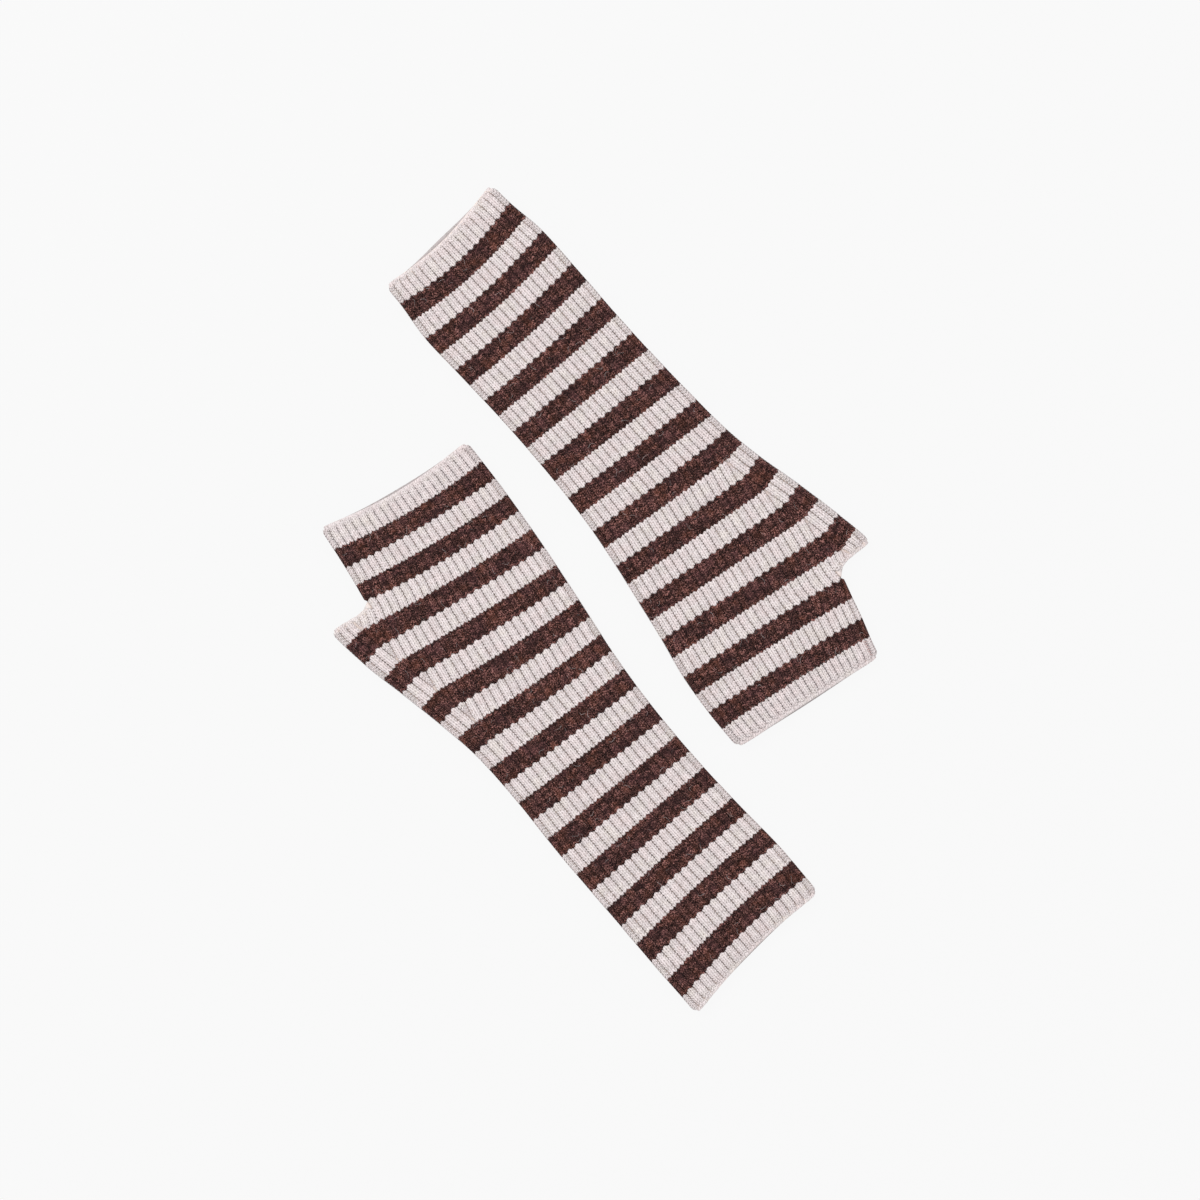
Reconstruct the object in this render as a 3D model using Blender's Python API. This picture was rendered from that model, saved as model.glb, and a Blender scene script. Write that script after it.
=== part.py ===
"""A pair of striped rib-knit wrist warmers, laid flat side by side, head to tail.

Each wrist warmer is a knitted tube, flattened so that its front lies on its back: open at the arm end, and
widened by a gusset on the thumb side that ends in an open mouth for the thumb. The knitting is a rib of two
knit and two purl columns, in stripes of two yarns, with a cream band at each end. The tube is built the way
it is knitted: one ring of points for each change of yarn, with one rib more in each ring of the gusset. The
band at the hand end goes on in the same ribs. It is a piece of its own, with a ring where it joins the tube
and two at its edge.

A wrist warmer is drawn in its own frame: x runs across it, away from the thumb, y runs from the arm end to
the hand end, and z is up. Sizes are in millimetres until the points become a mesh, which is in metres.
"""

import math
from typing import NamedTuple

import bmesh
import bpy
import numpy as np
from mathutils import Matrix, Vector

MM = 0.001

# The knitting, in rows from the arm end.
ARM_BAND_ROWS = 8
STRIPE_ROWS = 7
BROWN_STRIPES = 13
HAND_BAND_ROWS = 9
EDGE_ROWS = 2  # the cast-on and cast-off rows, where the ribs flatten out
HAND_BAND_START = ARM_BAND_ROWS + (2 * BROWN_STRIPES - 1) * STRIPE_ROWS
LAST_ROW = HAND_BAND_START + HAND_BAND_ROWS
GUSSET_START = ARM_BAND_ROWS + 14 * STRIPE_ROWS
THUMB_MOUTH = ARM_BAND_ROWS + 22 * STRIPE_ROWS

# Ribs across the front, between the two folds. Each fold is one more rib, rolled over the edge.
EDGE_RIBS = 2  # between the thumb-side fold and the line where the gusset grows
FOREARM_RIBS = 15  # from that line to the far fold, below the gusset
HAND_RIBS = 20
THUMB_RIBS = 5
RIB_POINTS = ((0.0, 0.0), (0.24, 1.0), (0.76, 1.0))  # place in the rib, and height as a share of RIB_DEPTH

# The section through both layers.
FOLD_HEIGHT = 6.0
SAG = 0.5  # how much lower the middle of the front lies than it does beside the folds
SAG_REACH = 9.0
WALL = 2.6
RIB_DEPTH = 0.65
BACK_WALL = 2.3
SEAM_GAP = 0.3  # between the tube and the hand band
FOLD_WIDTH = 3.0
HOLLOW_FOLD_WIDTH = 0.7
CROTCH_FOLD_WIDTH = 1.2
HOLLOW_CROTCH_WIDTH = -1.1  # below 0, because the inside of the crotch curves in from where the fold starts
FOLD_STEPS = 4
THUMB_COLUMNS = 2  # plain columns of the inside and of the back, at the thumb and over the hand
HAND_COLUMNS = 8
THUMB_SHARE = THUMB_RIBS / (THUMB_RIBS + HAND_RIBS)

# The ends of the folds draw in, so the corners of the openings are round.
CORNER_PULL_IN = 1.0
CORNER_PULL_BACK = 0.7
CORNER_ROWS = 3.5

# So does the tip beside the thumb mouth, which is rounder.
TIP_PULL_IN = 1.5
TIP_PULL_BACK = 1.6

# The thumb mouth's edge drops away from the crotch of the thumb, where the last course is drawn up.
MOUTH_ROUNDING = 3.6
CROTCH_LEAD = 0.6
CROTCH_RISE = 1.0
CROTCH_REACH = 5.0

CREAM = (0.74, 0.68, 0.65)
BROWN = (0.070, 0.028, 0.021)
WOOL_ROUGHNESS = 0.95
SHARP_ANGLE = math.radians(60)


class Station(NamedTuple):
    """One course of the knitting as it lies: its row, place and edges, and how it tilts and bends."""

    row: float
    along: float  # y where the course crosses x = 0
    thumb_edge: float
    far_edge: float
    tilt: float  # rise towards the far edge, per mm across
    bow: float  # how far its ends fall behind its middle
    thumb_drop: float  # how far it falls at the thumb edge, past the gusset's line


class WristWarmer(NamedTuple):
    name: str
    arm_end: tuple  # where the middle of the arm end lies, from the middle of the pair
    turn: float  # degrees that the hand end is turned from +Y, counter-clockwise
    stations: tuple
    hand_edge: tuple  # (row, x) of the thumb-side edge of the hand, above the thumb mouth
    back_reach: tuple  # how far the back shows past the front at the arm end and at the hand end


UPPER = WristWarmer(
    name="upper",
    arm_end=(-75.5, 170.3),
    turn=-141.5,
    stations=(
        #       row  along  thumb   far   tilt    bow  drop
        Station(0, 1.9, -34.2, 34.5, 0.100, 4.6, 0.0),
        Station(8, 13.2, -35.9, 34.3, 0.070, 4.0, 0.0),
        Station(22, 32.0, -39.7, 35.2, 0.066, 2.6, 0.0),
        Station(36, 51.5, -41.0, 33.5, 0.062, 1.6, 0.0),
        Station(64, 91.4, -43.1, 30.4, 0.019, 0.4, 0.0),
        Station(92, 132.8, -46.9, 29.4, -0.023, 0.3, 0.0),
        Station(106, 152.8, -49.3, 30.0, -0.033, 0.4, 0.6),
        Station(120, 173.2, -53.4, 31.6, -0.065, 0.3, 3.9),
        Station(134, 193.9, -59.7, 33.9, -0.076, 0.0, 4.2),
        Station(148, 214.6, -65.4, 36.3, -0.092, 0.0, 3.9),
        Station(162, 235.2, -69.4, 39.3, -0.105, -0.8, 5.8),
        Station(176, 255.7, -69.4, 40.4, -0.119, -1.4, 0.0),
        Station(192, 277.6, -69.4, 39.9, -0.097, -1.5, 0.0),
    ),
    hand_edge=((162, -48.8), (176, -44.1), (184, -41.2), (192, -39.0)),
    back_reach=(1.1, 0.7),
)

LOWER = WristWarmer(
    name="lower",
    arm_end=(73.1, -163.4),
    turn=37.9,
    stations=(
        #       row  along  thumb   far   tilt    bow  drop
        Station(0, 1.6, -41.2, 39.2, 0.122, 3.4, 0.0),
        Station(8, 10.2, -41.8, 39.0, 0.109, 2.1, 0.0),
        Station(22, 31.0, -43.1, 38.0, 0.092, 1.5, 0.0),
        Station(36, 51.2, -44.0, 35.7, 0.071, 0.8, 0.0),
        Station(64, 91.3, -46.0, 32.3, 0.028, 0.0, 0.0),
        Station(92, 131.9, -46.9, 31.5, -0.012, -0.3, 0.0),
        Station(106, 152.2, -48.6, 32.4, -0.025, -0.6, 0.8),
        Station(120, 171.8, -52.7, 34.1, -0.065, -1.9, 3.9),
        Station(134, 192.7, -58.0, 35.8, -0.098, -1.4, 4.2),
        Station(148, 213.1, -63.3, 37.3, -0.112, -1.0, 4.3),
        Station(162, 233.1, -66.9, 38.4, -0.115, -3.1, 3.9),
        Station(176, 252.2, -66.9, 39.0, -0.118, -2.8, 0.0),
        Station(192, 273.1, -66.9, 39.0, -0.122, -8.0, 0.0),
    ),
    hand_edge=((162, -45.1), (176, -42.8), (192, -40.6)),
    back_reach=(0.8, 1.0),
)


def tube_rows():
    """The rows of the tube that get a ring: the changes of yarn, and a row beside the edges."""
    changes = [ARM_BAND_ROWS + k * STRIPE_ROWS for k in range(2 * BROWN_STRIPES)]
    return sorted([0, EDGE_ROWS, THUMB_MOUTH - EDGE_ROWS, *changes])


def band_rows():
    return [HAND_BAND_START, LAST_ROW - EDGE_ROWS, LAST_ROW]


def is_brown(row):
    stripe = (row - ARM_BAND_ROWS) // STRIPE_ROWS
    return ARM_BAND_ROWS <= row < HAND_BAND_START and stripe % 2 == 0


def smooth_curve(known_at, known, at):
    """The value at one place of a smooth curve through known values."""
    slopes = np.gradient(known, known_at)
    i = int(np.clip(np.searchsorted(known_at, at, side="right") - 1, 0, len(known_at) - 2))
    step = known_at[i + 1] - known_at[i]
    u = (at - known_at[i]) / step
    start = (1 + 2 * u) * (1 - u) ** 2 * known[i] + u * (1 - u) ** 2 * step * slopes[i]
    end = u**2 * (3 - 2 * u) * known[i + 1] - u**2 * (1 - u) * step * slopes[i + 1]
    return float(start + end)


def course_at(knit, row):
    """The station of any row, worked out from the ones around it."""
    rows = [s.row for s in knit.stations]
    columns = zip(*knit.stations)
    return Station(row, *[smooth_curve(rows, c, row) for c in list(columns)[1:]])


def corner(row):
    """1 at the arm end and the hand end, falling to 0 a few rows away from them."""
    from_end = min(row, LAST_ROW - row) / CORNER_ROWS
    return max(0.0, 1 - from_end) ** 2


def thumb_tip(row, hand):
    """1 at the thumb mouth, falling to 0 a few rows below it. hand: the row is above the mouth."""
    return 0.0 if hand else max(0.0, 1 - (THUMB_MOUTH - row) / CORNER_ROWS) ** 2


def near_mouth(row):
    """0 up to the last change of yarn below the thumb mouth, growing to 1 at the mouth."""
    return min(max(1 - (THUMB_MOUTH - row) / STRIPE_ROWS, 0.0), 1.0)


def edges_at(knit, row, hand):
    """The thumb-side and far edges of a row, drawn in at the corners and at the tip beside the thumb."""
    course = course_at(knit, row)
    thumb = smooth_curve(*zip(*knit.hand_edge), row) if hand else course.thumb_edge
    pull = CORNER_PULL_IN * corner(row)
    return thumb + pull + TIP_PULL_IN * thumb_tip(row, hand), course.far_edge - pull


def crotch_x(knit):
    """Where the crotch of the thumb comes on the mouth's course: one fold in from the edge of the hand."""
    return smooth_curve(*zip(*knit.hand_edge), THUMB_MOUTH) + CROTCH_FOLD_WIDTH


def course_y(knit, row, x, hand=False):
    """How far along a row lies at x: tilted, bowed, falling at the thumb, and drawn back at the corners."""
    course = course_at(knit, row)
    thumb, far = edges_at(knit, row, hand)
    half = (course.far_edge - course.thumb_edge) / 2
    y = course.along + course.tilt * x - course.bow * (x / half) ** 2
    if not hand and row <= THUMB_MOUTH:
        past = crotch_x(knit) - x
        mouth_drop = course.thumb_drop * (1 - math.exp(-max(0.0, past) / MOUTH_ROUNDING))
        mouth_drop -= CROTCH_RISE * math.exp(-abs(past) / CROTCH_REACH)
        pitch = (far - thumb - 2 * FOLD_WIDTH) / (EDGE_RIBS + ribs_at(row))
        line = thumb + FOLD_WIDTH + EDGE_RIBS * pitch
        gusset_drop = course.thumb_drop * max(0.0, line - x) / (line - thumb)
        y -= gusset_drop + near_mouth(row) * (mouth_drop - gusset_drop)
        y -= TIP_PULL_BACK * thumb_tip(row, hand) * math.exp(-max(0.0, x - thumb) / FOLD_WIDTH)
    from_fold = min(x - thumb, far - x)
    towards_middle = 1 if row < LAST_ROW / 2 else -1
    y += towards_middle * CORNER_PULL_BACK * corner(row) * math.exp(-max(0.0, from_fold) / FOLD_WIDTH)
    return y


def ribs_at(row):
    """Ribs from the gusset's line to the far fold: one more at each change of yarn in the gusset."""
    grown = math.ceil((min(row, THUMB_MOUTH) - GUSSET_START) / STRIPE_ROWS)
    return FOREARM_RIBS + max(0, grown)


def front_height(x, thumb, far):
    """Height of the rib crests of the front, highest beside the folds."""
    from_fold = max(0.0, min(x - thumb, far - x) - FOLD_WIDTH)
    return FOLD_HEIGHT - SAG * (1 - math.exp(-from_fold / SAG_REACH))


def rib_places(start, end, ribs):
    """(x, height share) of the points of some ribs between two places, ending in a valley."""
    pitch = (end - start) / ribs
    places = [(start + (i + at) * pitch, share) for i in range(ribs) for at, share in RIB_POINTS]
    return [*places, (end, 0.0)]


def fold_points(x, y, low, high, width):
    """Points inside the half round of a fold, from its upper end down. A width below 0 bulges to -x."""
    middle, half = (low + high) / 2, (high - low) / 2
    points = []
    for k in range(1, FOLD_STEPS):
        turned = math.pi * k / FOLD_STEPS
        at = x + width * math.sin(turned)
        points.append((at, y(at), middle + half * math.cos(turned)))
    return points


def spread(start, end, columns):
    return [start + (end - start) * k / columns for k in range(columns + 1)]


def section_xs(knit, row, hand):
    """Where the front lies flat, between the folds, and where the crotch of the thumb comes in it."""
    thumb, far = edges_at(knit, row, hand)
    start, end = thumb + FOLD_WIDTH, far - FOLD_WIDTH
    even = start + THUMB_SHARE * (end - start)
    return start, even + near_mouth(row) * (crotch_x(knit) - even), end


def back_offset(knit, row, x, start, end):
    """How far the back reaches past the front: most in the middle of an opening, and nothing at its folds."""
    across = (x - start) / (end - start)
    if row < LAST_ROW / 2:
        reach = -knit.back_reach[0] * max(0.0, 1 - row / ARM_BAND_ROWS)
    else:
        reach = knit.back_reach[1] * max(0.0, 1 - (LAST_ROW - row) / HAND_BAND_ROWS)
    return reach * math.sin(math.pi * across) ** 2


def outer_runs(knit, row, hand, gap=0.0):
    """Points of the outside of one ring, as runs: front, far fold, back and thumb fold."""
    thumb, far = edges_at(knit, row, hand)
    start, crotch, end = section_xs(knit, row, hand)
    relief = min(1.0, min(row, LAST_ROW - row) / (2 * EDGE_ROWS))
    if hand:
        places = rib_places(start, end, HAND_RIBS)
        back_xs = spread(end, start, HAND_COLUMNS)
    elif near_mouth(row) > 0:
        places = rib_places(start, crotch, THUMB_RIBS)[:-1] + rib_places(crotch, end, HAND_RIBS)
        back_xs = spread(end, crotch, HAND_COLUMNS)[:-1] + spread(crotch, start, THUMB_COLUMNS)
    else:
        places = rib_places(start, end, EDGE_RIBS + ribs_at(row))
        back_xs = spread(end, crotch, HAND_COLUMNS)[:-1] + spread(crotch, start, THUMB_COLUMNS)

    def y(x):
        return course_y(knit, row, x, hand) + gap

    front = []
    for x, share in places:
        height = front_height(x, thumb, far) - RIB_DEPTH * (1 - share * relief)
        front.append((x, y(x), height))
    back = [(x, y(x) + back_offset(knit, row, x, start, end), 0.0) for x in back_xs]
    far_fold = fold_points(end, y, 0.0, front[-1][2], FOLD_WIDTH)
    thumb_fold = fold_points(start, y, 0.0, front[0][2], -FOLD_WIDTH)
    return front, far_fold, back, thumb_fold


def inner_runs(knit, row, hand, gap=0.0):
    """The same for the inside, which is plain."""
    thumb, far = edges_at(knit, row, hand)
    start, crotch, end = section_xs(knit, row, hand)
    if hand:
        xs = spread(start, end, HAND_COLUMNS)
    else:
        xs = spread(start, crotch, THUMB_COLUMNS)[:-1] + spread(crotch, end, HAND_COLUMNS)

    def y(x):
        return course_y(knit, row, x, hand) + gap

    front = [(x, y(x), front_height(x, thumb, far) - WALL) for x in xs]
    back = [(x, y(x) + back_offset(knit, row, x, start, end), BACK_WALL) for x in reversed(xs)]
    far_fold = fold_points(end, y, BACK_WALL, front[-1][2], HOLLOW_FOLD_WIDTH)
    thumb_fold = fold_points(start, y, BACK_WALL, front[0][2], -HOLLOW_FOLD_WIDTH)
    return front, far_fold, back, thumb_fold


class Ring:
    """The vertices of one ring, as four runs that share their end vertices."""

    def __init__(self, mesh, runs):
        front, far_fold, back, thumb_fold = runs
        self.front = [mesh.verts.new(p) for p in front]
        self.back = [mesh.verts.new(p) for p in back]
        far = [mesh.verts.new(p) for p in far_fold]
        thumb = [mesh.verts.new(p) for p in thumb_fold]
        self.far_fold = [self.front[-1], *far, self.back[0]]
        self.thumb_fold = [self.front[0], *thumb, self.back[-1]]

    def runs(self):
        return self.front, self.far_fold, self.back, self.thumb_fold


def hand_ring_at_mouth(mesh, mouth, front_points, back_points, low, width):
    """The first ring of the hand: the mouth ring's points over the hand, and a new fold in the crotch."""
    ring = Ring.__new__(Ring)
    ring.front = mouth.front[-front_points:]
    ring.back = mouth.back[:back_points]
    ring.far_fold = mouth.far_fold
    top = ring.front[0].co
    x = top.x

    def y(at):
        return top.y + CROTCH_LEAD * (x - at) / CROTCH_FOLD_WIDTH

    crotch = [mesh.verts.new(p) for p in fold_points(x, y, low, top.z, -width)]
    ring.thumb_fold = [ring.front[0], *crotch, ring.back[-1]]
    return ring


def join_runs(mesh, lower, upper, brown, increase_at=0):
    """Faces between two runs. What the upper one has more is a new rib, which fans out from one point."""
    grown = len(upper) - len(lower)
    for k in range(grown):
        fan = (lower[increase_at], upper[increase_at + k], upper[increase_at + k + 1])
        mesh.faces.new(fan).material_index = brown
    for i in range(len(lower) - 1):
        j = i + (grown if i >= increase_at else 0)
        mesh.faces.new((lower[i], lower[i + 1], upper[j + 1], upper[j])).material_index = brown


def join_rings(mesh, lower, upper, brown):
    increase_at = EDGE_RIBS * len(RIB_POINTS)
    join_runs(mesh, lower.front, upper.front, brown, increase_at)
    for one, other in zip(lower.runs()[1:], upper.runs()[1:]):
        join_runs(mesh, one, other, brown)


def close_edge(mesh, outer, inner):
    """The cut edge of the wall between an outer and an inner run, whose numbers of points may differ."""
    i = j = 0
    last_i, last_j = len(outer) - 1, len(inner) - 1
    while i < last_i or j < last_j:
        outer_next = j == last_j or (i < last_i and (i + 1) * last_j <= (j + 1) * last_i)
        if outer_next:
            mesh.faces.new((outer[i], outer[i + 1], inner[j]))
            i += 1
        else:
            mesh.faces.new((outer[i], inner[j + 1], inner[j]))
            j += 1


def close_thumb_mouth(mesh, outer, outer_hand, inner, inner_hand):
    """The edge of the thumb's opening: the thumb ribs, the fold beside them, the back, and the crotch."""
    ribs_run = outer.front[: THUMB_RIBS * len(RIB_POINTS) + 1]
    close_edge(mesh, ribs_run, inner.front[: THUMB_COLUMNS + 1])
    close_edge(mesh, outer.thumb_fold, inner.thumb_fold)
    close_edge(mesh, outer.back[-THUMB_COLUMNS - 1 :], inner.back[-THUMB_COLUMNS - 1 :])
    close_edge(mesh, outer_hand.thumb_fold, inner_hand.thumb_fold)


def tube_wall(mesh, knit, runs_of, front_points, back_points, low, width):
    """One side of the wall, as rings joined from the arm end on. Returns the four rings at its edges."""
    rows = tube_rows()
    ring = first = Ring(mesh, runs_of(knit, rows[0], False))
    mouth = hand = None
    for row, next_row in zip(rows, rows[1:]):
        if row == THUMB_MOUTH:
            mouth = ring
            ring = hand = hand_ring_at_mouth(mesh, mouth, front_points, back_points, low, width)
        upper = Ring(mesh, runs_of(knit, next_row, next_row > THUMB_MOUTH))
        join_rings(mesh, ring, upper, is_brown(row))
        ring = upper
    return first, mouth, hand, ring


def close_ring(mesh, outer_ring, inner_ring):
    """The edge of the wall all round an opening."""
    for outer, inner in zip(outer_ring.runs(), inner_ring.runs()):
        close_edge(mesh, outer, inner)


def tube_mesh(knit):
    """The whole wall of the tube: outside, inside, and the edges of the three openings that join them."""
    mesh = bmesh.new()
    hand_points = HAND_RIBS * len(RIB_POINTS) + 1
    columns = HAND_COLUMNS + 1
    outer = tube_wall(mesh, knit, outer_runs, hand_points, columns, 0.0, CROTCH_FOLD_WIDTH)
    inner = tube_wall(mesh, knit, inner_runs, columns, columns, BACK_WALL, HOLLOW_CROTCH_WIDTH)
    close_ring(mesh, outer[0], inner[0])
    close_ring(mesh, outer[3], inner[3])
    close_thumb_mouth(mesh, outer[1], outer[2], inner[1], inner[2])
    return mesh


def hand_band_mesh(knit):
    """The wall of the band, which starts a small gap past the tube's last ring."""
    mesh = bmesh.new()
    outer, inner = [], []
    for row in band_rows():
        gap = SEAM_GAP if row == HAND_BAND_START else 0.0
        outer.append(Ring(mesh, outer_runs(knit, row, True, gap)))
        inner.append(Ring(mesh, inner_runs(knit, row, True, gap)))
    for rings in (outer, inner):
        for lower, upper in zip(rings, rings[1:]):
            join_rings(mesh, lower, upper, False)
    close_ring(mesh, outer[0], inner[0])
    close_ring(mesh, outer[-1], inner[-1])
    return mesh


def add_piece(name, mesh, yarns, parent):
    """Makes an object of a piece drawn in millimetres. The faces' material numbers count its yarns."""
    bmesh.ops.scale(mesh, vec=(MM, MM, MM), verts=mesh.verts)
    bmesh.ops.recalc_face_normals(mesh, faces=mesh.faces)
    data = bpy.data.meshes.new(name)
    mesh.to_mesh(data)
    mesh.free()
    for yarn in yarns:
        data.materials.append(yarn)
    data.shade_smooth()
    data.set_sharp_from_angle(angle=SHARP_ANGLE)
    piece = bpy.data.objects.new(name, data)
    piece.parent = parent
    bpy.context.scene.collection.objects.link(piece)
    return piece


def wool(name, color):
    material = bpy.data.materials.new(name)
    material.use_nodes = True
    shader = material.node_tree.nodes["Principled BSDF"]
    shader.inputs["Base Color"].default_value = (*color, 1.0)
    shader.inputs["Roughness"].default_value = WOOL_ROUGHNESS
    shader.inputs["Metallic"].default_value = 0.0
    material.diffuse_color = (*color, 1.0)
    return material


def add_empty(name, parent):
    empty = bpy.data.objects.new(name, None)
    empty.parent = parent
    bpy.context.scene.collection.objects.link(empty)
    return empty


def build():
    for old in list(bpy.data.objects):
        bpy.data.objects.remove(old)
    cream = wool("cream_wool", CREAM)
    brown = wool("brown_wool", BROWN)
    pair = add_empty("pair", None)
    corners = []
    for knit in (UPPER, LOWER):
        laid = add_empty(knit.name, pair)
        laid.location = (knit.arm_end[0] * MM, knit.arm_end[1] * MM, 0.0)
        laid.rotation_euler = (0.0, 0.0, math.radians(knit.turn))
        tube = add_piece(knit.name + "_tube", tube_mesh(knit), (cream, brown), laid)
        band = add_piece(knit.name + "_hand_band", hand_band_mesh(knit), (cream,), laid)
        place = Matrix.LocRotScale(laid.location, laid.rotation_euler, None)
        corners.extend(place @ v.co for piece in (tube, band) for v in piece.data.vertices)
    low = Vector([min(c[i] for c in corners) for i in range(3)])
    high = Vector([max(c[i] for c in corners) for i in range(3)])
    middle = (low + high) / 2
    pair.location = (-middle.x, -middle.y, -low.z)


build()
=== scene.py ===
# %% [markdown]
# # A pair of striped rib-knit wrist warmers
#
# Two wrist warmers of fuzzy wool lie flat, side by side and head to tail. Each is a tube, knitted
# in a rib of two knit and two purl columns, in stripes of cream and brown yarn, with a gusset and
# an open mouth for the thumb. A cream band finishes each end.
#
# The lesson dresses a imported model: its solids give the true size and place, and stay where they
# are. Each step makes one layer of the real thing on them: the wall of the knitting, its ribs, its
# stitches, its edges, its loose fibres and its wool.

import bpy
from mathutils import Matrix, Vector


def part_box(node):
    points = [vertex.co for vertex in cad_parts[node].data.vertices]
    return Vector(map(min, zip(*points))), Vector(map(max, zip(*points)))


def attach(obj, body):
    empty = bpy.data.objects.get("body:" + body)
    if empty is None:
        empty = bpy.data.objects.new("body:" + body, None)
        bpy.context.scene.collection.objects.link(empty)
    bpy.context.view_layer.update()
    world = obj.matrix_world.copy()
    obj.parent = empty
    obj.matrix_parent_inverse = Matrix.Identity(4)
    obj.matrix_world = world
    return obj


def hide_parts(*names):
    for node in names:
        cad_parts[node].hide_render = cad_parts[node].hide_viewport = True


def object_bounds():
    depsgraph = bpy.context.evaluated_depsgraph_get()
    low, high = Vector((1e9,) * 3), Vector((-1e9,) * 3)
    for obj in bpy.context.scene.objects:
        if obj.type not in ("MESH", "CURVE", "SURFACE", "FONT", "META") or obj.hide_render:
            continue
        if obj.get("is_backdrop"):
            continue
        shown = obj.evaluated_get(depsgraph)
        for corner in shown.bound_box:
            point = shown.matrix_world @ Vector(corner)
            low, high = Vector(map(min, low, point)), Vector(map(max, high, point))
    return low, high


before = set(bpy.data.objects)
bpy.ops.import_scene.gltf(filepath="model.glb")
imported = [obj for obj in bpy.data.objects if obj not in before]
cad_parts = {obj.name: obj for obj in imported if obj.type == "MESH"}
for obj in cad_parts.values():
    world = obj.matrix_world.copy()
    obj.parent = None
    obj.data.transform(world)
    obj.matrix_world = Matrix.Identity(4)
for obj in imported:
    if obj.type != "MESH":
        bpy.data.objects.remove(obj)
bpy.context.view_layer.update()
print("solids to dress:", sorted(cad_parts))

# %% [markdown]
# ## The sizes of the knitting
#
# A knitter counts in rows and ribs, so the lesson does too. Rows are counted from the arm end, ribs
# across the front from the far side. Everything is drawn in millimetres, in a frame of its own for
# each wrist warmer: x runs across it, away from the thumb, y runs from the arm end to the hand end,
# and z is up. The last step of each piece turns it to metres and lays it in its place.

# %% Rows and ribs
import math
from typing import NamedTuple

import bmesh
import bpy
import numpy as np
from mathutils import Vector

MM = 0.001

ARM_BAND_ROWS = 8
STRIPE_ROWS = 7
BROWN_STRIPES = 13
GUSSET_STRIPE = 14  # stripes from the arm band to the start of the gusset
MOUTH_STRIPE = 22  # and to the thumb's mouth
HAND_BAND_ROWS = 9
HAND_BAND_START = ARM_BAND_ROWS + (2 * BROWN_STRIPES - 1) * STRIPE_ROWS
LAST_ROW = HAND_BAND_START + HAND_BAND_ROWS
GUSSET_START = ARM_BAND_ROWS + GUSSET_STRIPE * STRIPE_ROWS
THUMB_MOUTH = ARM_BAND_ROWS + MOUTH_STRIPE * STRIPE_ROWS

EDGE_RIBS = 2  # between the thumb-side fold and the line where the gusset grows
FOREARM_RIBS = 15  # from that line to the far fold, below the gusset
HAND_RIBS = 20
THUMB_RIBS = 5
FOLD_RIBS = 3  # rolled round each fold

print("rows:", LAST_ROW, "of which in the hand band:", HAND_BAND_ROWS)

# %% [markdown]
# ## How the two lie
#
# Cloth on a table is never quite straight: its courses tilt and bow. A short table has one line for
# a course every few stripes, with where it crosses the middle, its two edges, how it tilts and
# bows, and how far it drops at the gusset. A smooth curve through the lines gives every row between
# them.

# %% Where some of the courses lie
class Station(NamedTuple):
    """One course as it lies, in millimetres: its place and edges, and how it tilts and bends."""

    row: float
    along: float
    thumb_edge: float
    far_edge: float
    tilt: float
    bow: float
    thumb_drop: float


class Crease(NamedTuple):
    """A soft trough in the cloth (or a ridge, where its depth is below 0), drawn one by one."""

    x: float
    y: float
    turn: float  # degrees from across
    length: float
    width: float
    depth: float


class WristWarmer(NamedTuple):
    name: str
    arm_end: tuple
    turn: float
    stations: tuple
    hand_edge: tuple
    back_reach: tuple
    tip_roundness: float
    creases: tuple
    back_creases: tuple


UPPER = WristWarmer(
    name="upper",
    arm_end=(-75.5, 170.3),
    turn=-141.5,
    stations=(
        #       row  along  thumb   far   tilt    bow  drop
        Station(0, 1.9, -34.2, 34.5, 0.100, 4.6, 0.0),
        Station(8, 13.2, -35.9, 34.3, 0.070, 4.0, 0.0),
        Station(22, 32.0, -39.7, 35.2, 0.066, 2.6, 0.0),
        Station(36, 51.5, -41.0, 33.5, 0.062, 1.6, 0.0),
        Station(64, 91.4, -43.1, 30.4, 0.019, 0.4, 0.0),
        Station(92, 132.8, -46.9, 29.4, -0.023, 0.3, 0.0),
        Station(106, 152.8, -49.3, 30.0, -0.033, 0.4, 0.6),
        Station(120, 173.2, -53.4, 31.6, -0.065, 0.3, 3.9),
        Station(134, 193.9, -59.7, 33.9, -0.076, 0.0, 4.2),
        Station(148, 214.6, -65.4, 36.3, -0.092, 0.0, 3.9),
        Station(162, 235.2, -69.4, 39.3, -0.105, -0.8, 5.8),
        Station(176, 255.7, -69.4, 40.4, -0.119, -1.4, 0.0),
        Station(192, 277.6, -69.4, 39.9, -0.097, -1.5, 0.0),
    ),
    hand_edge=((162, -48.8), (176, -44.1), (184, -41.2), (192, -39.0)),
    back_reach=(2.0, 0.7),
    tip_roundness=0.75,
    creases=(
        #       x    y  turn length width depth
        Crease(-38, 205, 62, 34, 5.0, 0.40),
        Crease(12, 64, 8, 30, 9.0, 0.30),
        Crease(-18, 118, -14, 26, 8.0, -0.35),
        Crease(16, 150, 20, 34, 10.0, 0.28),
        Crease(-8, 228, -30, 30, 8.0, 0.30),
        Crease(20, 252, 12, 22, 9.0, -0.30),
        Crease(-12, 22, -6, 24, 7.0, 0.25),
    ),
    back_creases=(
        Crease(-6, 48, 12, 32, 8.0, 0.30),
        Crease(10, 112, -18, 28, 7.0, 0.35),
        Crease(-34, 190, 55, 36, 6.0, 0.40),
        Crease(14, 236, 8, 26, 9.0, 0.30),
    ),
)

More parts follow.
